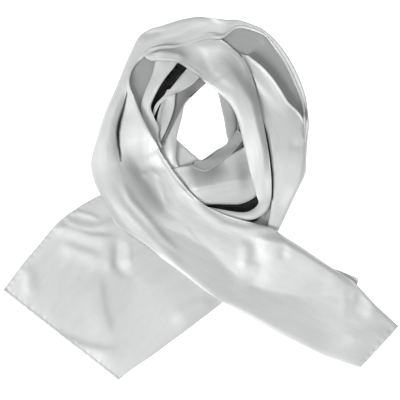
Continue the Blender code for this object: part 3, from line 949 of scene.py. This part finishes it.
def pucker(distance: np.ndarray, along: np.ndarray) -> np.ndarray:
    """Gives the small waves that the stitches pull into the cloth beside a hem.

    Args:
        distance: How far in from the edge each point lies.
        along: Its place along the hem.

    Returns:
        The height to add at each point.
    """
    wave = np.sin(along / PUCKER_WAVE + 1.3 * np.sin(along / PUCKER_DRIFT))
    wave = wave + 0.5 * np.sin(along / PUCKER_SECOND_WAVE + 1.0)
    return PUCKER * wave * np.exp(-(((distance - HEM_WIDTH) / PUCKER_REACH) ** 2))


class SectionPlan:
    """Where the points of every section of one stretch lie, counted from its first edge."""

    least_inner = 4
    narrowest = 5
    edge_share = 0.35

    def __init__(self, stretch: Stretch, mean_width: float) -> None:
        """Settles how many points a section has.

        Args:
            stretch: The stretch of cloth.
            mean_width: How wide its sections are on average.
        """
        self.stretch = stretch
        self.start = edge_zone(stretch.first)
        self.stop = edge_zone(stretch.second)
        inner = mean_width - self.start[-1] - self.stop[-1]
        self.inner_count = max(self.least_inner, int(round(inner / stretch.across_step)))

    def fold_points(self, width: float, drop: float = 0.0) -> list[tuple[float, float]]:
        """Lays out a fold's underside.

        Args:
            width: How wide the section is.
            drop: How far down the fold rolls at least.

        Returns:
            Its points as distance in from the edge and drop.
        """
        most = width / self.narrowest
        drop = max(drop, min(self.stretch.fold_radius, most))
        radius = min(max(self.stretch.fold_radius, self.edge_share * drop), most)
        back = min(FOLD_RETURN, most)
        rows = [(radius * (1 - math.cos(turn)), drop * math.sin(turn)) for turn in FOLD_ANGLES]
        return rows + [(radius + back * 0.5, drop), (radius + back, drop)]

    def at(self, width: float, edge_height: float) -> np.ndarray:
        """Lays out one section.

        Args:
            width: How wide the section is.
            edge_height: How high its first edge lies, where that edge rolls right down.

        Returns:
            Rows of distance across, share of the crown, and drop below the edge.
        """
        scale = min(1.0, self.edge_share * width / max(self.start[-1], self.stop[-1], 0.1))
        low, high = self.start * scale, width - self.stop[::-1] * scale
        middle = np.linspace(low[-1], high[0], self.inner_count + 2)[1:-1]
        across = np.concatenate([low, middle, high])
        stretch = self.stretch
        squeeze = min(1.0, width / (stretch.round_first + stretch.round_second))
        rise = quarter_round(across, stretch.round_first * squeeze)
        rise = rise * quarter_round(width - across, stretch.round_second * squeeze)
        rows = [(place, up, 0.0) for place, up in zip(across, rise)]
        if stretch.first is Edge.FOLD:
            rolled = self.fold_points(width, edge_height - FOLD_LOW)
            rows = [(inwards, 0.0, drop) for inwards, drop in reversed(rolled)] + rows
        if stretch.second is Edge.FOLD:
            rows = rows + [(width - inwards, 0.0, drop) for inwards, drop in self.fold_points(width)]
        return np.array(rows)


class Shell:
    """Both faces of one stretch of cloth as grids of points."""

    def __init__(self, stretch: Stretch) -> None:
        """Works out every section of a stretch.

        Args:
            stretch: The stretch of cloth.
        """
        self.stretch = stretch
        rows, self.run = smooth_rows(stretch.sections, stretch.step, stretch.end_hems)
        widths = np.hypot(rows[:, 2] - rows[:, 0], rows[:, 3] - rows[:, 1])
        plan = SectionPlan(stretch, float(widths.mean()))
        sections = [self.section(row, width, run, plan) for row, width, run in zip(rows, widths, self.run)]
        self.upper = np.array([upper for upper, _ in sections])
        self.lower = np.array([lower for _, lower in sections])
        self.painted_shade = np.array([painted_shade_amounts(upper[:, :2], stretch.painted_shades) for upper in self.upper])

    def section(self, row: np.ndarray, width: float, run: float, plan: SectionPlan) -> tuple:
        """Works out one section.

        Args:
            row: Both edges in plan, both heights and the crown.
            width: How wide the section is.
            run: Its place along the stretch.
            plan: Where its points lie.

        Returns:
            Its outer points and its inner points.
        """
        stretch = self.stretch
        first, second = row[0:2], row[2:4]
        across, rise, drop = plan.at(width, row[4] if run < stretch.rolled * self.run[-1] else 0.0).T
        share = across / width
        flat = first + (second - first) * share[:, None]
        height = row[4] + (row[5] - row[4]) * share + row[6] * rise - drop
        folds = crease_heights(flat, stretch.creases) + ramp_heights(flat, stretch.ramps)
        height = height + folds * np.minimum(1.0, rise * FOLDS_FULL)
        thick = np.full(len(across), CLOTH)
        for distance, along in self.hem_distances(across, width, run):
            height = height + hem_profile(distance) + pucker(distance, along)
            thick = thick + HEM_UNDERSIDE * hem_profile(distance)
        section = np.column_stack([across, height])
        slope = np.gradient(section, axis=0)
        inwards = np.column_stack([slope[:, 1], -slope[:, 0]]) / np.maximum(np.hypot(*slope.T), 1e-6)[:, None]
        back = section + thick[:, None] * inwards
        under = first + (second - first) * (back[:, :1] / width)
        return np.column_stack([flat, height]), np.column_stack([under, back[:, 1]])

    def hem_distances(self, across: np.ndarray, width: float, run: float) -> Iterator[tuple]:
        """Goes through the hems of this stretch.

        Args:
            across: The places of a section's points, counted from its first edge.
            width: How wide the section is.
            run: Its place along the stretch.

        Returns:
            For each hem, how far the points lie from it and their place along it.
        """
        stretch = self.stretch
        if stretch.first is Edge.HEM:
            yield across, np.full(len(across), run)
        if stretch.second is Edge.HEM:
            yield width - across, np.full(len(across), run)
        if stretch.end_hems[0]:
            yield np.full(len(across), run), across
        if stretch.end_hems[1]:
            yield np.full(len(across), self.run[-1] - run), across

    def lift(self, amount: np.ndarray) -> None:
        """Raises both faces by an amount at each point."""
        self.upper[..., 2] += amount
        self.lower[..., 2] += amount

    def cut(self) -> tuple[float, float]:
        """Measures the outer face.

        Returns:
            The flat size in metres, as girth across and length along.
        """
        girth = np.linalg.norm(np.diff(self.upper, axis=1), axis=2).sum(axis=1).mean()
        length = running_length(self.upper[:, self.upper.shape[1] // 2])[-1]
        return float(girth) * METRES, float(length) * METRES


@dataclass
class HeightMap:
    """The highest, or the lowest, cloth over each small square of the plan.

    Attributes:
        highest: Whether it keeps the highest or the lowest.
        cell: How wide a square is.
        reach: How far it reaches to each side, in x and in y.
        samples: How many points stand for one face of a grid, each way.
    """

    highest: bool = True
    cell: float = 1.5
    reach: tuple[float, float] = (360.0, 330.0)
    samples: int = 6

    def __post_init__(self) -> None:
        """Starts with nothing laid."""
        self.combine = np.maximum if self.highest else np.minimum
        shape = tuple(int(2 * side / self.cell) for side in self.reach)
        self.map = np.full(shape, -1.0 if self.highest else 1000.0)

    def index(self, points: np.ndarray) -> tuple[np.ndarray, np.ndarray]:
        """Finds the squares that points lie in.

        Args:
            points: Points with x and y last.

        Returns:
            The column and the row of each.
        """
        column = np.round((points[..., 0] + self.reach[0]) / self.cell).astype(int)
        row = np.round((points[..., 1] + self.reach[1]) / self.cell).astype(int)
        return np.clip(column, 0, self.map.shape[0] - 1), np.clip(row, 0, self.map.shape[1] - 1)

    def add(self, grid: np.ndarray) -> None:
        """Marks every square that a grid covers.

        Args:
            grid: Rows of points.
        """
        steps = np.linspace(0.0, 1.0, self.samples)
        for far in steps:
            along = grid[:-1] * (1 - far) + grid[1:] * far
            for wide in steps:
                points = along[:, :-1] * (1 - wide) + along[:, 1:] * wide
                self.combine.at(self.map, self.index(points), points[..., 2])

    def spread(self, cells: int) -> np.ndarray:
        """Gives each square the extreme of its surroundings.

        Args:
            cells: How many squares around it count.

        Returns:
            The map with that done.
        """
        wide = self.map.copy()
        for _ in range(cells):
            grown = wide.copy()
            for axis in (0, 1):
                for step in (-1, 1):
                    grown = self.combine(grown, np.roll(wide, step, axis))
            wide = grown
        return wide


def blurred(values: np.ndarray) -> np.ndarray:
    """Softens a grid of values.

    Args:
        values: The grid.

    Returns:
        Each value mixed with its four neighbours.
    """
    padded = np.pad(values, 1, mode="edge")
    rows = (padded[:-2, 1:-1] + padded[2:, 1:-1]) * BLUR_SIDE
    columns = (padded[1:-1, :-2] + padded[1:-1, 2:]) * BLUR_SIDE
    return padded[1:-1, 1:-1] * BLUR_MIDDLE + rows + columns


@dataclass
class Heap:
    """Everything laid so far, from the surface up.

    Attributes:
        tops: The highest cloth.
        bottoms: The lowest cloth.
        fold_columns: How many columns of a grid make up a fold, which is lifted as one.
        margin: How many squares around a point the cloth beneath counts.
    """

    tops: HeightMap = field(default_factory=HeightMap)
    bottoms: HeightMap = field(default_factory=lambda: HeightMap(highest=False))
    fold_columns: int = 9
    margin: int = 2

    def lay(self, shell: Shell) -> None:
        """Lifts a shell in soft curves onto what lies beneath, and adds it to the heap.

        Args:
            shell: The stretch to lay.
        """
        beneath = self.tops.spread(self.margin)
        need = np.zeros(shell.upper.shape[:2])
        for grid in (shell.upper, shell.lower):
            need = np.maximum(need, beneath[self.tops.index(grid)] + LAID_GAP - grid[..., 2])
        folds = self.fold_columns
        if shell.stretch.first is Edge.FOLD:
            need[:, :folds] = need[:, :folds].max(axis=1, keepdims=True)
        if shell.stretch.second is Edge.FOLD:
            need[:, -folds:] = need[:, -folds:].max(axis=1, keepdims=True)
        lift = need
        for _ in range(LIFT_PASSES):
            lift = np.maximum(need, blurred(lift))
        shell.lift(lift)
        for grid in (shell.upper, shell.lower):
            self.tops.add(grid)
            self.bottoms.add(grid)


@dataclass
class HiddenLayers:
    """The layers that don't show: flat below, stepped at the outer edge, close under the cloth on top, and
    painted near black as shade.

    Attributes:
        ring: Rows of outer x, y and inner x, y.
        columns: How many points lie across.
        steps: The height of the stepped outer edge, point by point.
        inner: The height of the inner edge, point by point.
        highest: The height that they nowhere pass.
        lowest: The least height.
        in_gaps: The most height where a gap between the pleats lets one look in.
        columns_without_painted_shade: How many points at the outer edge aren't painted dark as shade.
        cover_margin: How many squares around a point the cloth on top counts.
        gap_margin: How many squares around a point have to be open for a gap.
    """

    ring: Rows
    columns: int = 40
    steps: tuple[float, ...] = (0.9, 1.2, 2.0, 2.3, 3.6, 4.4, 4.7, 6.4)
    inner: tuple[float, ...] = (2.5, 2.0, 1.2)
    highest: float = 16.0
    lowest: float = 0.5
    in_gaps: float = 3.0
    columns_without_painted_shade: int = 9
    cover_margin: int = 3
    gap_margin: int = 1

    def build(self, heap: Heap, satin: bpy.types.Material) -> None:
        """Fills the space under the loop with layers painted near black as shade.

        Args:
            heap: All the cloth that covers these layers.
            satin: Their material.
        """
        share = np.linspace(0.0, 1.0, self.columns)[:, None]
        covers = heap.bottoms.spread(self.cover_margin)
        open_above = heap.tops.spread(self.gap_margin) < 0
        most = np.full(self.columns, self.highest)
        most[: len(self.steps)] = self.steps
        most[-len(self.inner) :] = self.inner
        upper = []
        for row in smooth_rows(self.ring, 4.0)[0]:
            plan = row[0:2] * (1 - share) + row[2:4] * share
            place = heap.bottoms.index(plan)
            height = np.clip(np.minimum(most, covers[place] - LAID_GAP), self.lowest, None)
            height = np.where(open_above[place], np.minimum(height, self.in_gaps), height)
            upper.append(np.column_stack([plan, height]))
        upper = np.array(upper)
        # Painted shade: all but the outer points are darkened to near black
        painted_shade = np.ones(upper.shape[:2])
        painted_shade[:, : self.columns_without_painted_shade] = 0.0
        piece = mesh_object("hidden_heap", upper, upper * (1.0, 1.0, 0.0), painted_shade, satin)
        attach(piece, ("hidden_layers",))
        LOG.info("hidden_heap: %d points", len(piece.data.vertices))


def placed(name: str, mesh: bpy.types.Mesh, material: bpy.types.Material) -> bpy.types.Object:
    """Puts a mesh into the scene as an object.

    Args:
        name: The object's name.
        mesh: Its mesh.
        material: Its material.

    Returns:
        The object.
    """
    mesh.materials.append(material)
    made = bpy.data.objects.new(name, mesh)
    bpy.context.scene.collection.objects.link(made)
    return made


def attach(piece: bpy.types.Object, nodes: tuple[str, ...]) -> None:
    """Makes a piece stand for its CAD nodes and ride on the body.

    Args:
        piece: The piece.
        nodes: The names of the CAD nodes, or none.
    """
    if nodes:
        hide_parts(*nodes)
    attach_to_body(piece, "root")


def closed_faces(upper: np.ndarray) -> np.ndarray:
    """Joins an outer and an inner grid all round.

    Args:
        upper: The outer grid; the inner one has as many points, counted on from it.

    Returns:
        The corners of every face, turned outwards.
    """
    count, across = upper.shape[:2]
    top = np.arange(count * across).reshape(count, across)
    low = top + count * across
    quads = [
        np.stack([top[:-1, :-1], top[1:, :-1], top[1:, 1:], top[:-1, 1:]], -1).reshape(-1, 4),
        np.stack([low[:-1, :-1], low[:-1, 1:], low[1:, 1:], low[1:, :-1]], -1).reshape(-1, 4),
        np.stack([top[:-1, 0], low[:-1, 0], low[1:, 0], top[1:, 0]], -1),
        np.stack([top[:-1, -1], top[1:, -1], low[1:, -1], low[:-1, -1]], -1),
        np.stack([top[0, :-1], top[0, 1:], low[0, 1:], low[0, :-1]], -1),
        np.stack([top[-1, :-1], low[-1, :-1], low[-1, 1:], top[-1, 1:]], -1),
    ]
    faces = np.vstack(quads)
    middle = upper[count // 2, across // 2]
    along = upper[count // 2 + 1, across // 2] - middle
    sideways = upper[count // 2, -1] - middle
    return faces[:, ::-1] if np.cross(along, sideways)[2] < 0 else faces


def mesh_object(
    name: str, upper: np.ndarray, lower: np.ndarray, painted_shade: np.ndarray, material: bpy.types.Material
) -> bpy.types.Object:
    """Makes one closed mesh between two grids, with its cut in metres as UVs and its painted shade at each
    point.

    Args:
        name: The name of the piece.
        upper: The outer grid.
        lower: The inner grid.
        painted_shade: How much painted shade each point of the grid gets, from 0 to 1.
        material: Its material.

    Returns:
        The piece.
    """
    count, across = upper.shape[:2]
    points = np.vstack([upper.reshape(-1, 3), lower.reshape(-1, 3)]) * METRES
    mesh = bpy.data.meshes.new(name)
    mesh.from_pydata(points.tolist(), [], closed_faces(upper).tolist())
    mesh.polygons.foreach_set("use_smooth", [True] * len(mesh.polygons))
    mesh.set_sharp_from_angle(angle=math.radians(RIM_ANGLE))
    lengths = running_length(upper[:, across // 2])
    girths = np.zeros((count, across))
    girths[:, 1:] = np.cumsum(np.linalg.norm(np.diff(upper, axis=1), axis=2), axis=1)
    cut = np.stack([girths, np.repeat(lengths[:, None], across, axis=1)], -1).reshape(-1, 2) * METRES
    layer = mesh.uv_layers.new(name="cut")
    loops = np.empty(len(mesh.loops), np.int32)
    mesh.loops.foreach_get("vertex_index", loops)
    layer.data.foreach_set("uv", np.vstack([cut, cut])[loops].astype(np.float32).ravel())
    # Painted shade, read by the satin to darken its colour towards black
    shade = mesh.attributes.new("painted_shade_amount", "FLOAT", "POINT")
    both = np.concatenate([painted_shade.ravel(), painted_shade.ravel()]).astype(np.float32)
    shade.data.foreach_set("value", both)
    return placed(name, mesh, material)


def line_inside(grid: np.ndarray, distance: float) -> np.ndarray:
    """Finds the line that runs a distance in from a grid's first row, across the whole grid.

    Args:
        grid: Rows of points.
        distance: How far in, along the cloth.

    Returns:
        The points of the line.
    """
    line = []
    for column in range(grid.shape[1]):
        points = grid[:, column]
        gone = running_length(points)
        line.append([np.interp(distance, gone, points[:, axis]) for axis in range(3)])
    return np.array(line)


@dataclass
class Stitches:
    """The small slanted stitches that hold a rolled hem, as rounded threads along its inner side.

    Attributes:
        shell: The cloth that they are sewn in.
        pitch: The distance between stitches.
        length: How long one is.
        radius: How thick the thread is, halved.
        slant: The angle between a stitch and its hem, in degrees.
        sides: How many sides the thread has.
        rings: Its shape, as place along it and share of the radius.
    """

    shell: Shell
    pitch: float = 4.2
    length: float = 1.9
    radius: float = 0.28
    slant: float = 35.0
    sides: int = 6
    rings: tuple[tuple[float, float], ...] = STITCH_RINGS
    points: list[np.ndarray] = field(default_factory=list)
    faces: list[tuple[int, ...]] = field(default_factory=list)

    def hem_lines(self) -> list[np.ndarray]:
        """Finds the line of stitches of each hem.

        Returns:
            The points of each line.
        """
        stretch, grid = self.shell.stretch, self.shell.upper
        across = grid.transpose(1, 0, 2)
        hems = [
            (stretch.first is Edge.HEM, across),
            (stretch.second is Edge.HEM, across[::-1]),
            (stretch.end_hems[0], grid),
            (stretch.end_hems[1], grid[::-1]),
        ]
        return [line_inside(side, STITCH_LINE) for hemmed, side in hems if hemmed]

    def sew(self) -> None:
        """Sets stitches at an even pitch along every hem."""
        for line in self.hem_lines():
            gone = running_length(line)
            for place in np.arange(self.pitch, gone[-1] - self.pitch, self.pitch):
                middle, ahead = (
                    np.array([np.interp(at, gone, line[:, axis]) for axis in range(3)])
                    for at in (place, place + 1.0)
                )
                self.add(middle, ahead - middle)

    def add(self, middle: np.ndarray, along: np.ndarray) -> None:
        """Adds one stitch, slanted from the hem's direction.

        Args:
            middle: Where the stitch lies.
            along: The direction of the hem.
        """
        turn = math.radians(self.slant)
        flat = np.array([
            along[0] * math.cos(turn) - along[1] * math.sin(turn),
            along[0] * math.sin(turn) + along[1] * math.cos(turn),
            along[2],
        ])
        flat = flat / np.linalg.norm(flat)
        aside = np.cross(flat, (0.0, 0.0, 1.0))
        aside = aside / np.linalg.norm(aside)
        up = np.cross(aside, flat)
        start = len(self.points)
        for reach, girth in self.rings:
            centre = middle + up * self.radius * 0.6 + flat * reach * self.length / 2
            for side in range(self.sides):
                angle = 2 * math.pi * side / self.sides
                out = aside * math.cos(angle) + up * math.sin(angle)
                self.points.append(centre + out * girth * self.radius)
        for ring in range(len(self.rings) - 1):
            for side in range(self.sides):
                first = start + ring * self.sides + side
                second = start + ring * self.sides + (side + 1) % self.sides
                self.faces.append((first, second, second + self.sides, first + self.sides))
        last = start + (len(self.rings) - 1) * self.sides
        self.faces.append(tuple(start + side for side in reversed(range(self.sides))))
        self.faces.append(tuple(last + side for side in range(self.sides)))

    def build(self, thread: bpy.types.Material) -> bpy.types.Object:
        """Makes the stitches of one stretch into one piece.

        Args:
            thread: Their material.

        Returns:
            The piece.
        """
        name = self.shell.stretch.name + "_stitches"
        mesh = bpy.data.meshes.new(name)
        mesh.from_pydata((np.array(self.points) * METRES).tolist(), [], self.faces)
        mesh.polygons.foreach_set("use_smooth", [True] * len(mesh.polygons))
        return placed(name, mesh, thread)


class Finish:
    """A new material with its plain shader, and the nodes that are added to it."""

    def __init__(self, name: str, **sockets: float | Colour) -> None:
        """Starts a material.

        Args:
            name: The material's name.
            sockets: Values of the shader's own sockets, with _ for each space in a name.
        """
        self.material = bpy.data.materials.new(name)
        self.material.use_nodes = True
        self.tree = self.material.node_tree
        self.shader = self.tree.nodes["Principled BSDF"]
        for socket, value in sockets.items():
            self.shader.inputs[socket.replace("_", " ")].default_value = value

    def node(self, kind: str, **inputs: float | tuple) -> bpy.types.Node:
        """Adds a node.

        Args:
            kind: What kind of node.
            inputs: Values of its inputs.

        Returns:
            The node.
        """
        made = self.tree.nodes.new(kind)
        for key, value in inputs.items():
            made.inputs[key].default_value = value
        return made

    def link(self, source: bpy.types.NodeSocket, target: bpy.types.NodeSocket) -> None:
        """Joins an output to an input."""
        self.tree.links.new(source, target)

    def noise(self, place: bpy.types.NodeSocket, **inputs: float) -> bpy.types.NodeSocket:
        """Adds soft noise.

        Args:
            place: The coordinates that it follows.
            inputs: Values of its inputs.

        Returns:
            The noise from 0 to 1.
        """
        made = self.node("ShaderNodeTexNoise", **inputs)
        self.link(place, made.inputs["Vector"])
        return made.outputs["Fac"]

    def between(self, factor: bpy.types.NodeSocket, *stops: tuple[float, Colour]) -> bpy.types.NodeSocket:
        """Adds a change between two colours.

        Args:
            factor: What it follows.
            stops: The place and the colour of both ends.

        Returns:
            The colour.
        """
        ramp = self.node("ShaderNodeValToRGB")
        for element, (position, colour) in zip(ramp.color_ramp.elements, stops):
            element.position = position
            element.color = colour
        self.link(factor, ramp.inputs["Fac"])
        return ramp.outputs["Color"]


def tinted(colour: Colour, share: float) -> Colour:
    """Gives a colour with its red, green and blue times a share, 1 at most."""
    return tuple(min(1.0, part * share) for part in colour[:3]) + (1.0,)


@dataclass(frozen=True)
class Satin:
    """Silver satin: thread lines along the cut, a soft sheen, faint unevenness, and painted shade in slits
    and deep folds.

    Attributes:
        name: The material's name.
        colour: Its colour.
        metallic: How metallic it is.
        specular: How strong its highlight is.
        roughness: How dull it is on average.
        unevenness: How far the roughness strays.
        painted_shade_colour: The near-black colour of the painted shade.
        threads: The scale of the thread lines; higher is finer.
    """

    name: str
    colour: Colour
    metallic: float
    specular: float
    roughness: float
    unevenness: float = 0.05
    painted_shade_colour: Colour = (0.004, 0.004, 0.004, 1.0)
    threads: float = 420.0

    def material(self) -> bpy.types.Material:
        """Builds the material.

        Returns:
            The material.
        """
        finish = Finish(
            self.name,
            Metallic=self.metallic,
            Specular_IOR_Level=self.specular,
            Sheen_Weight=0.15,
            Sheen_Roughness=0.4,
            Anisotropic=0.35,
        )
        finish.material.diffuse_color = self.colour
        self.add_colour(finish)
        self.add_roughness(finish)
        self.add_relief(finish)
        return finish.material

    def cut_coordinates(self, finish: Finish, across: float, along: float) -> bpy.types.NodeSocket:
        """Reads the cut in metres, scaled apart across and along the strip.

        Args:
            finish: The material being built.
            across: The scale across the strip.
            along: The scale along it.

        Returns:
            The scaled coordinates.
        """
        place = finish.node("ShaderNodeUVMap")
        place.uv_map = "cut"
        mapping = finish.node("ShaderNodeMapping", Scale=(across, along, 1.0))
        finish.link(place.outputs["UV"], mapping.inputs["Vector"])
        return mapping.outputs["Vector"]

    def add_colour(self, finish: Finish) -> None:
        """Adds the faintly uneven colour, with painted shade mixed in where the painted shade amount is set.

        Args:
            finish: The material being built.
        """
        place = self.cut_coordinates(finish, 3.0, 1.0)
        noise = finish.noise(place, Scale=14.0, Detail=4.0, Roughness=0.6)
        cloth = finish.between(noise, (0.25, tinted(self.colour, 0.95)), (0.75, tinted(self.colour, 1.04)))
        # Painted shade: the colour is mixed towards near black by the painted shade amount
        depth = finish.node("ShaderNodeAttribute")
        depth.attribute_name = "painted_shade_amount"
        darken = finish.node("ShaderNodeMix")
        darken.data_type = "RGBA"
        darken.inputs["B"].default_value = self.painted_shade_colour
        finish.link(depth.outputs["Fac"], darken.inputs["Factor"])
        finish.link(cloth, darken.inputs["A"])
        finish.link(darken.outputs["Result"], finish.shader.inputs["Base Color"])

    def add_roughness(self, finish: Finish) -> None:
        """Adds the uneven roughness.

        Args:
            finish: The material being built.
        """
        noise = finish.noise(self.cut_coordinates(finish, 4.0, 1.0), Scale=30.0, Detail=3.0)
        spread = finish.node("ShaderNodeMapRange")
        spread.inputs["To Min"].default_value = self.roughness - self.unevenness
        spread.inputs["To Max"].default_value = self.roughness + self.unevenness
        finish.link(noise, spread.inputs["Value"])
        finish.link(spread.outputs["Result"], finish.shader.inputs["Roughness"])

    def add_relief(self, finish: Finish) -> None:
        """Adds soft crumple under fine threads.

        Args:
            finish: The material being built.
        """
        place = self.cut_coordinates(finish, 2.2, 0.6)
        crumple = finish.noise(place, Scale=38.0, Detail=3.0, Roughness=0.5)
        soft = finish.node("ShaderNodeBump", Strength=0.35, Distance=0.0016)
        finish.link(crumple, soft.inputs["Height"])
        threads = finish.node("ShaderNodeTexWave", Scale=self.threads, Distortion=1.2, Detail=2.0)
        threads.bands_direction = "X"
        finish.link(self.cut_coordinates(finish, 1.0, 0.35), threads.inputs["Vector"])
        fine = finish.node("ShaderNodeBump", Strength=0.18, Distance=0.00012)
        finish.link(threads.outputs["Fac"], fine.inputs["Height"])
        finish.link(soft.outputs["Normal"], fine.inputs["Normal"])
        finish.link(fine.outputs["Normal"], finish.shader.inputs["Normal"])


@dataclass(frozen=True)
class SewingThread:
    """Silver-grey thread, a little duller than the satin, with faint unevenness along it.

    Attributes:
        name: The material's name.
        dark: Its darkest colour.
        light: Its lightest colour.
        roughness: How dull it is.
        sheen: How much sheen it has.
    """

    name: str = "sewing_thread"
    dark: Colour = (0.42, 0.43, 0.425, 1.0)
    light: Colour = (0.52, 0.53, 0.525, 1.0)
    roughness: float = 0.55
    sheen: float = 0.2

    def material(self) -> bpy.types.Material:
        """Builds the material.

        Returns:
            The material.
        """
        finish = Finish(self.name, Roughness=self.roughness, Sheen_Weight=self.sheen)
        noise = finish.noise(finish.node("ShaderNodeTexCoord").outputs["Object"], Scale=900.0)
        thread = finish.between(noise, (0.0, self.dark), (1.0, self.light))
        finish.link(thread, finish.shader.inputs["Base Color"])
        return finish.material


@dataclass(frozen=True)
class Lamp:
    """One square area light: its name, its place and size in metres, and its power in watts."""

    name: str
    place: tuple[float, float, float]
    size: float
    power: float

    def build(self) -> None:
        """Hangs the light, aimed at the stole."""
        data = bpy.data.lights.new(self.name, "AREA")
        data.shape = "SQUARE"
        data.size = self.size
        data.energy = self.power
        made = bpy.data.objects.new(self.name, data)
        made.location = self.place
        aim = -np.array(self.place)
        tilt = math.atan2(math.hypot(aim[0], aim[1]), -aim[2])
        made.rotation_euler = (tilt, 0.0, math.atan2(aim[1], aim[0]) - math.pi / 2)
        bpy.context.scene.collection.objects.link(made)


@dataclass
class Studio:
    """A camera straight above, soft light from the lower left of the picture, and a white surface to lie on.

    Attributes:
        lens: The camera's focal length in millimetres.
        sensor: The width of its sensor in millimetres.
        surface_reach: How far the surface reaches to each side, in metres.
        surface_height: How high it lies, in metres.
        glow: How much light the surface gives of its own.
        room: How much light comes from all sides.
        lamps: The lights.
    """

    lens: float = 135.0
    sensor: float = 36.0
    surface_reach: float = 6.0
    surface_height: float = -0.0006
    glow: float = 0.85
    room: float = 0.385
    lamps: tuple[Lamp, ...] = (
        Lamp("key", (-3.2, -2.6, 3.1), 2.2, 222.0),
        Lamp("top_fill", (0.3, 0.1, 5.0), 3.0, 14.0),
        Lamp("right_fill", (3.5, -0.6, 2.2), 2.0, 10.0),
    )

    def build(self) -> None:
        """Sets up the camera, the surface and the light."""
        self.camera()
        self.surface()
        for lamp in self.lamps:
            lamp.build()
        self.world()
        bpy.context.scene.view_settings.view_transform = "Standard"
        LOG.info("studio: camera, surface and %d lights", len(self.lamps))

    def camera(self) -> None:
        """Hangs the camera so that a pixel of the picture is as wide as on the stole."""
        pixel = MM_PER_PIXEL * METRES
        data = bpy.data.cameras.new("above")
        data.lens = self.lens
        data.sensor_width = self.sensor
        data.clip_end = 20.0
        made = bpy.data.objects.new("above", data)
        half = PICTURE_PIXELS / 2
        height = PICTURE_PIXELS * pixel * self.lens / self.sensor
        made.location = ((half - PICTURE_MIDDLE[0]) * pixel, (PICTURE_MIDDLE[1] - half) * pixel, height)
        bpy.context.scene.collection.objects.link(made)
        bpy.context.scene.camera = made

    def surface(self) -> None:
        """Lays the white surface."""
        corners = [(-1, -1), (1, -1), (1, 1), (-1, 1)]
        reach, height = self.surface_reach, self.surface_height
        mesh = bpy.data.meshes.new("surface")
        mesh.from_pydata([(x * reach, y * reach, height) for x, y in corners], [], [(0, 1, 2, 3)])
        finish = Finish(
            "white_surface",
            Base_Color=(0.9, 0.9, 0.9, 1.0),
            Roughness=0.9,
            Emission_Color=(1.0, 1.0, 1.0, 1.0),
            Emission_Strength=self.glow,
        )
        placed("surface", mesh, finish.material)

    def world(self) -> None:
        """Fills the room with even white light."""
        world = bpy.data.worlds.new("room")
        world.use_nodes = True
        background = world.node_tree.nodes["Background"]
        background.inputs["Color"].default_value = (1.0, 1.0, 1.0, 1.0)
        background.inputs["Strength"].default_value = self.room
        bpy.context.scene.world = world


@dataclass
class Stole:
    """The whole stole, from the lowest stretch up, and the layers hidden under it.

    Attributes:
        stretches: Its stretches of cloth, the lowest first.
        hidden: The layers that don't show.
        face: The finish of the satin's face.
        reverse: The finish of its duller reverse, darker than the face partly as painted shade.
        thread: The finish of the stitches.
    """

    stretches: list[Stretch]
    hidden: HiddenLayers
    face: Satin = Satin(
        "satin_face", (0.68, 0.692, 0.685, 1.0), metallic=0.25, specular=0.5, roughness=0.58
    )
    # The reverse is darker than the face: partly the duller reverse side, partly painted shade on the linings
    # and pleats deep in the loop
    reverse: Satin = Satin(
        "satin_reverse_and_painted_shade", (0.40, 0.407, 0.404, 1.0), metallic=0.0, specular=0.3, roughness=0.65
    )
    thread: SewingThread = SewingThread()

    def build(self) -> None:
        """Builds every stretch in order, and then what fills the space beneath."""
        satins = {Side.FACE: self.face.material(), Side.REVERSE: self.reverse.material()}
        thread = self.thread.material()
        heap = Heap()
        for stretch in self.stretches:
            stretch.build(heap, satins, thread)
        self.hidden.build(heap, satins[Side.REVERSE])


def main() -> None:
    """Builds the stole and the studio around the frame."""
    logging.basicConfig(level=logging.INFO)
    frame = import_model()
    LOG.info("frame: %d CAD nodes", len(frame["nodes"]))
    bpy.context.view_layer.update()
    Stole(STRETCHES, HiddenLayers(HIDDEN_RING)).build()
    Studio().build()


if __name__ == "__main__":
    main()
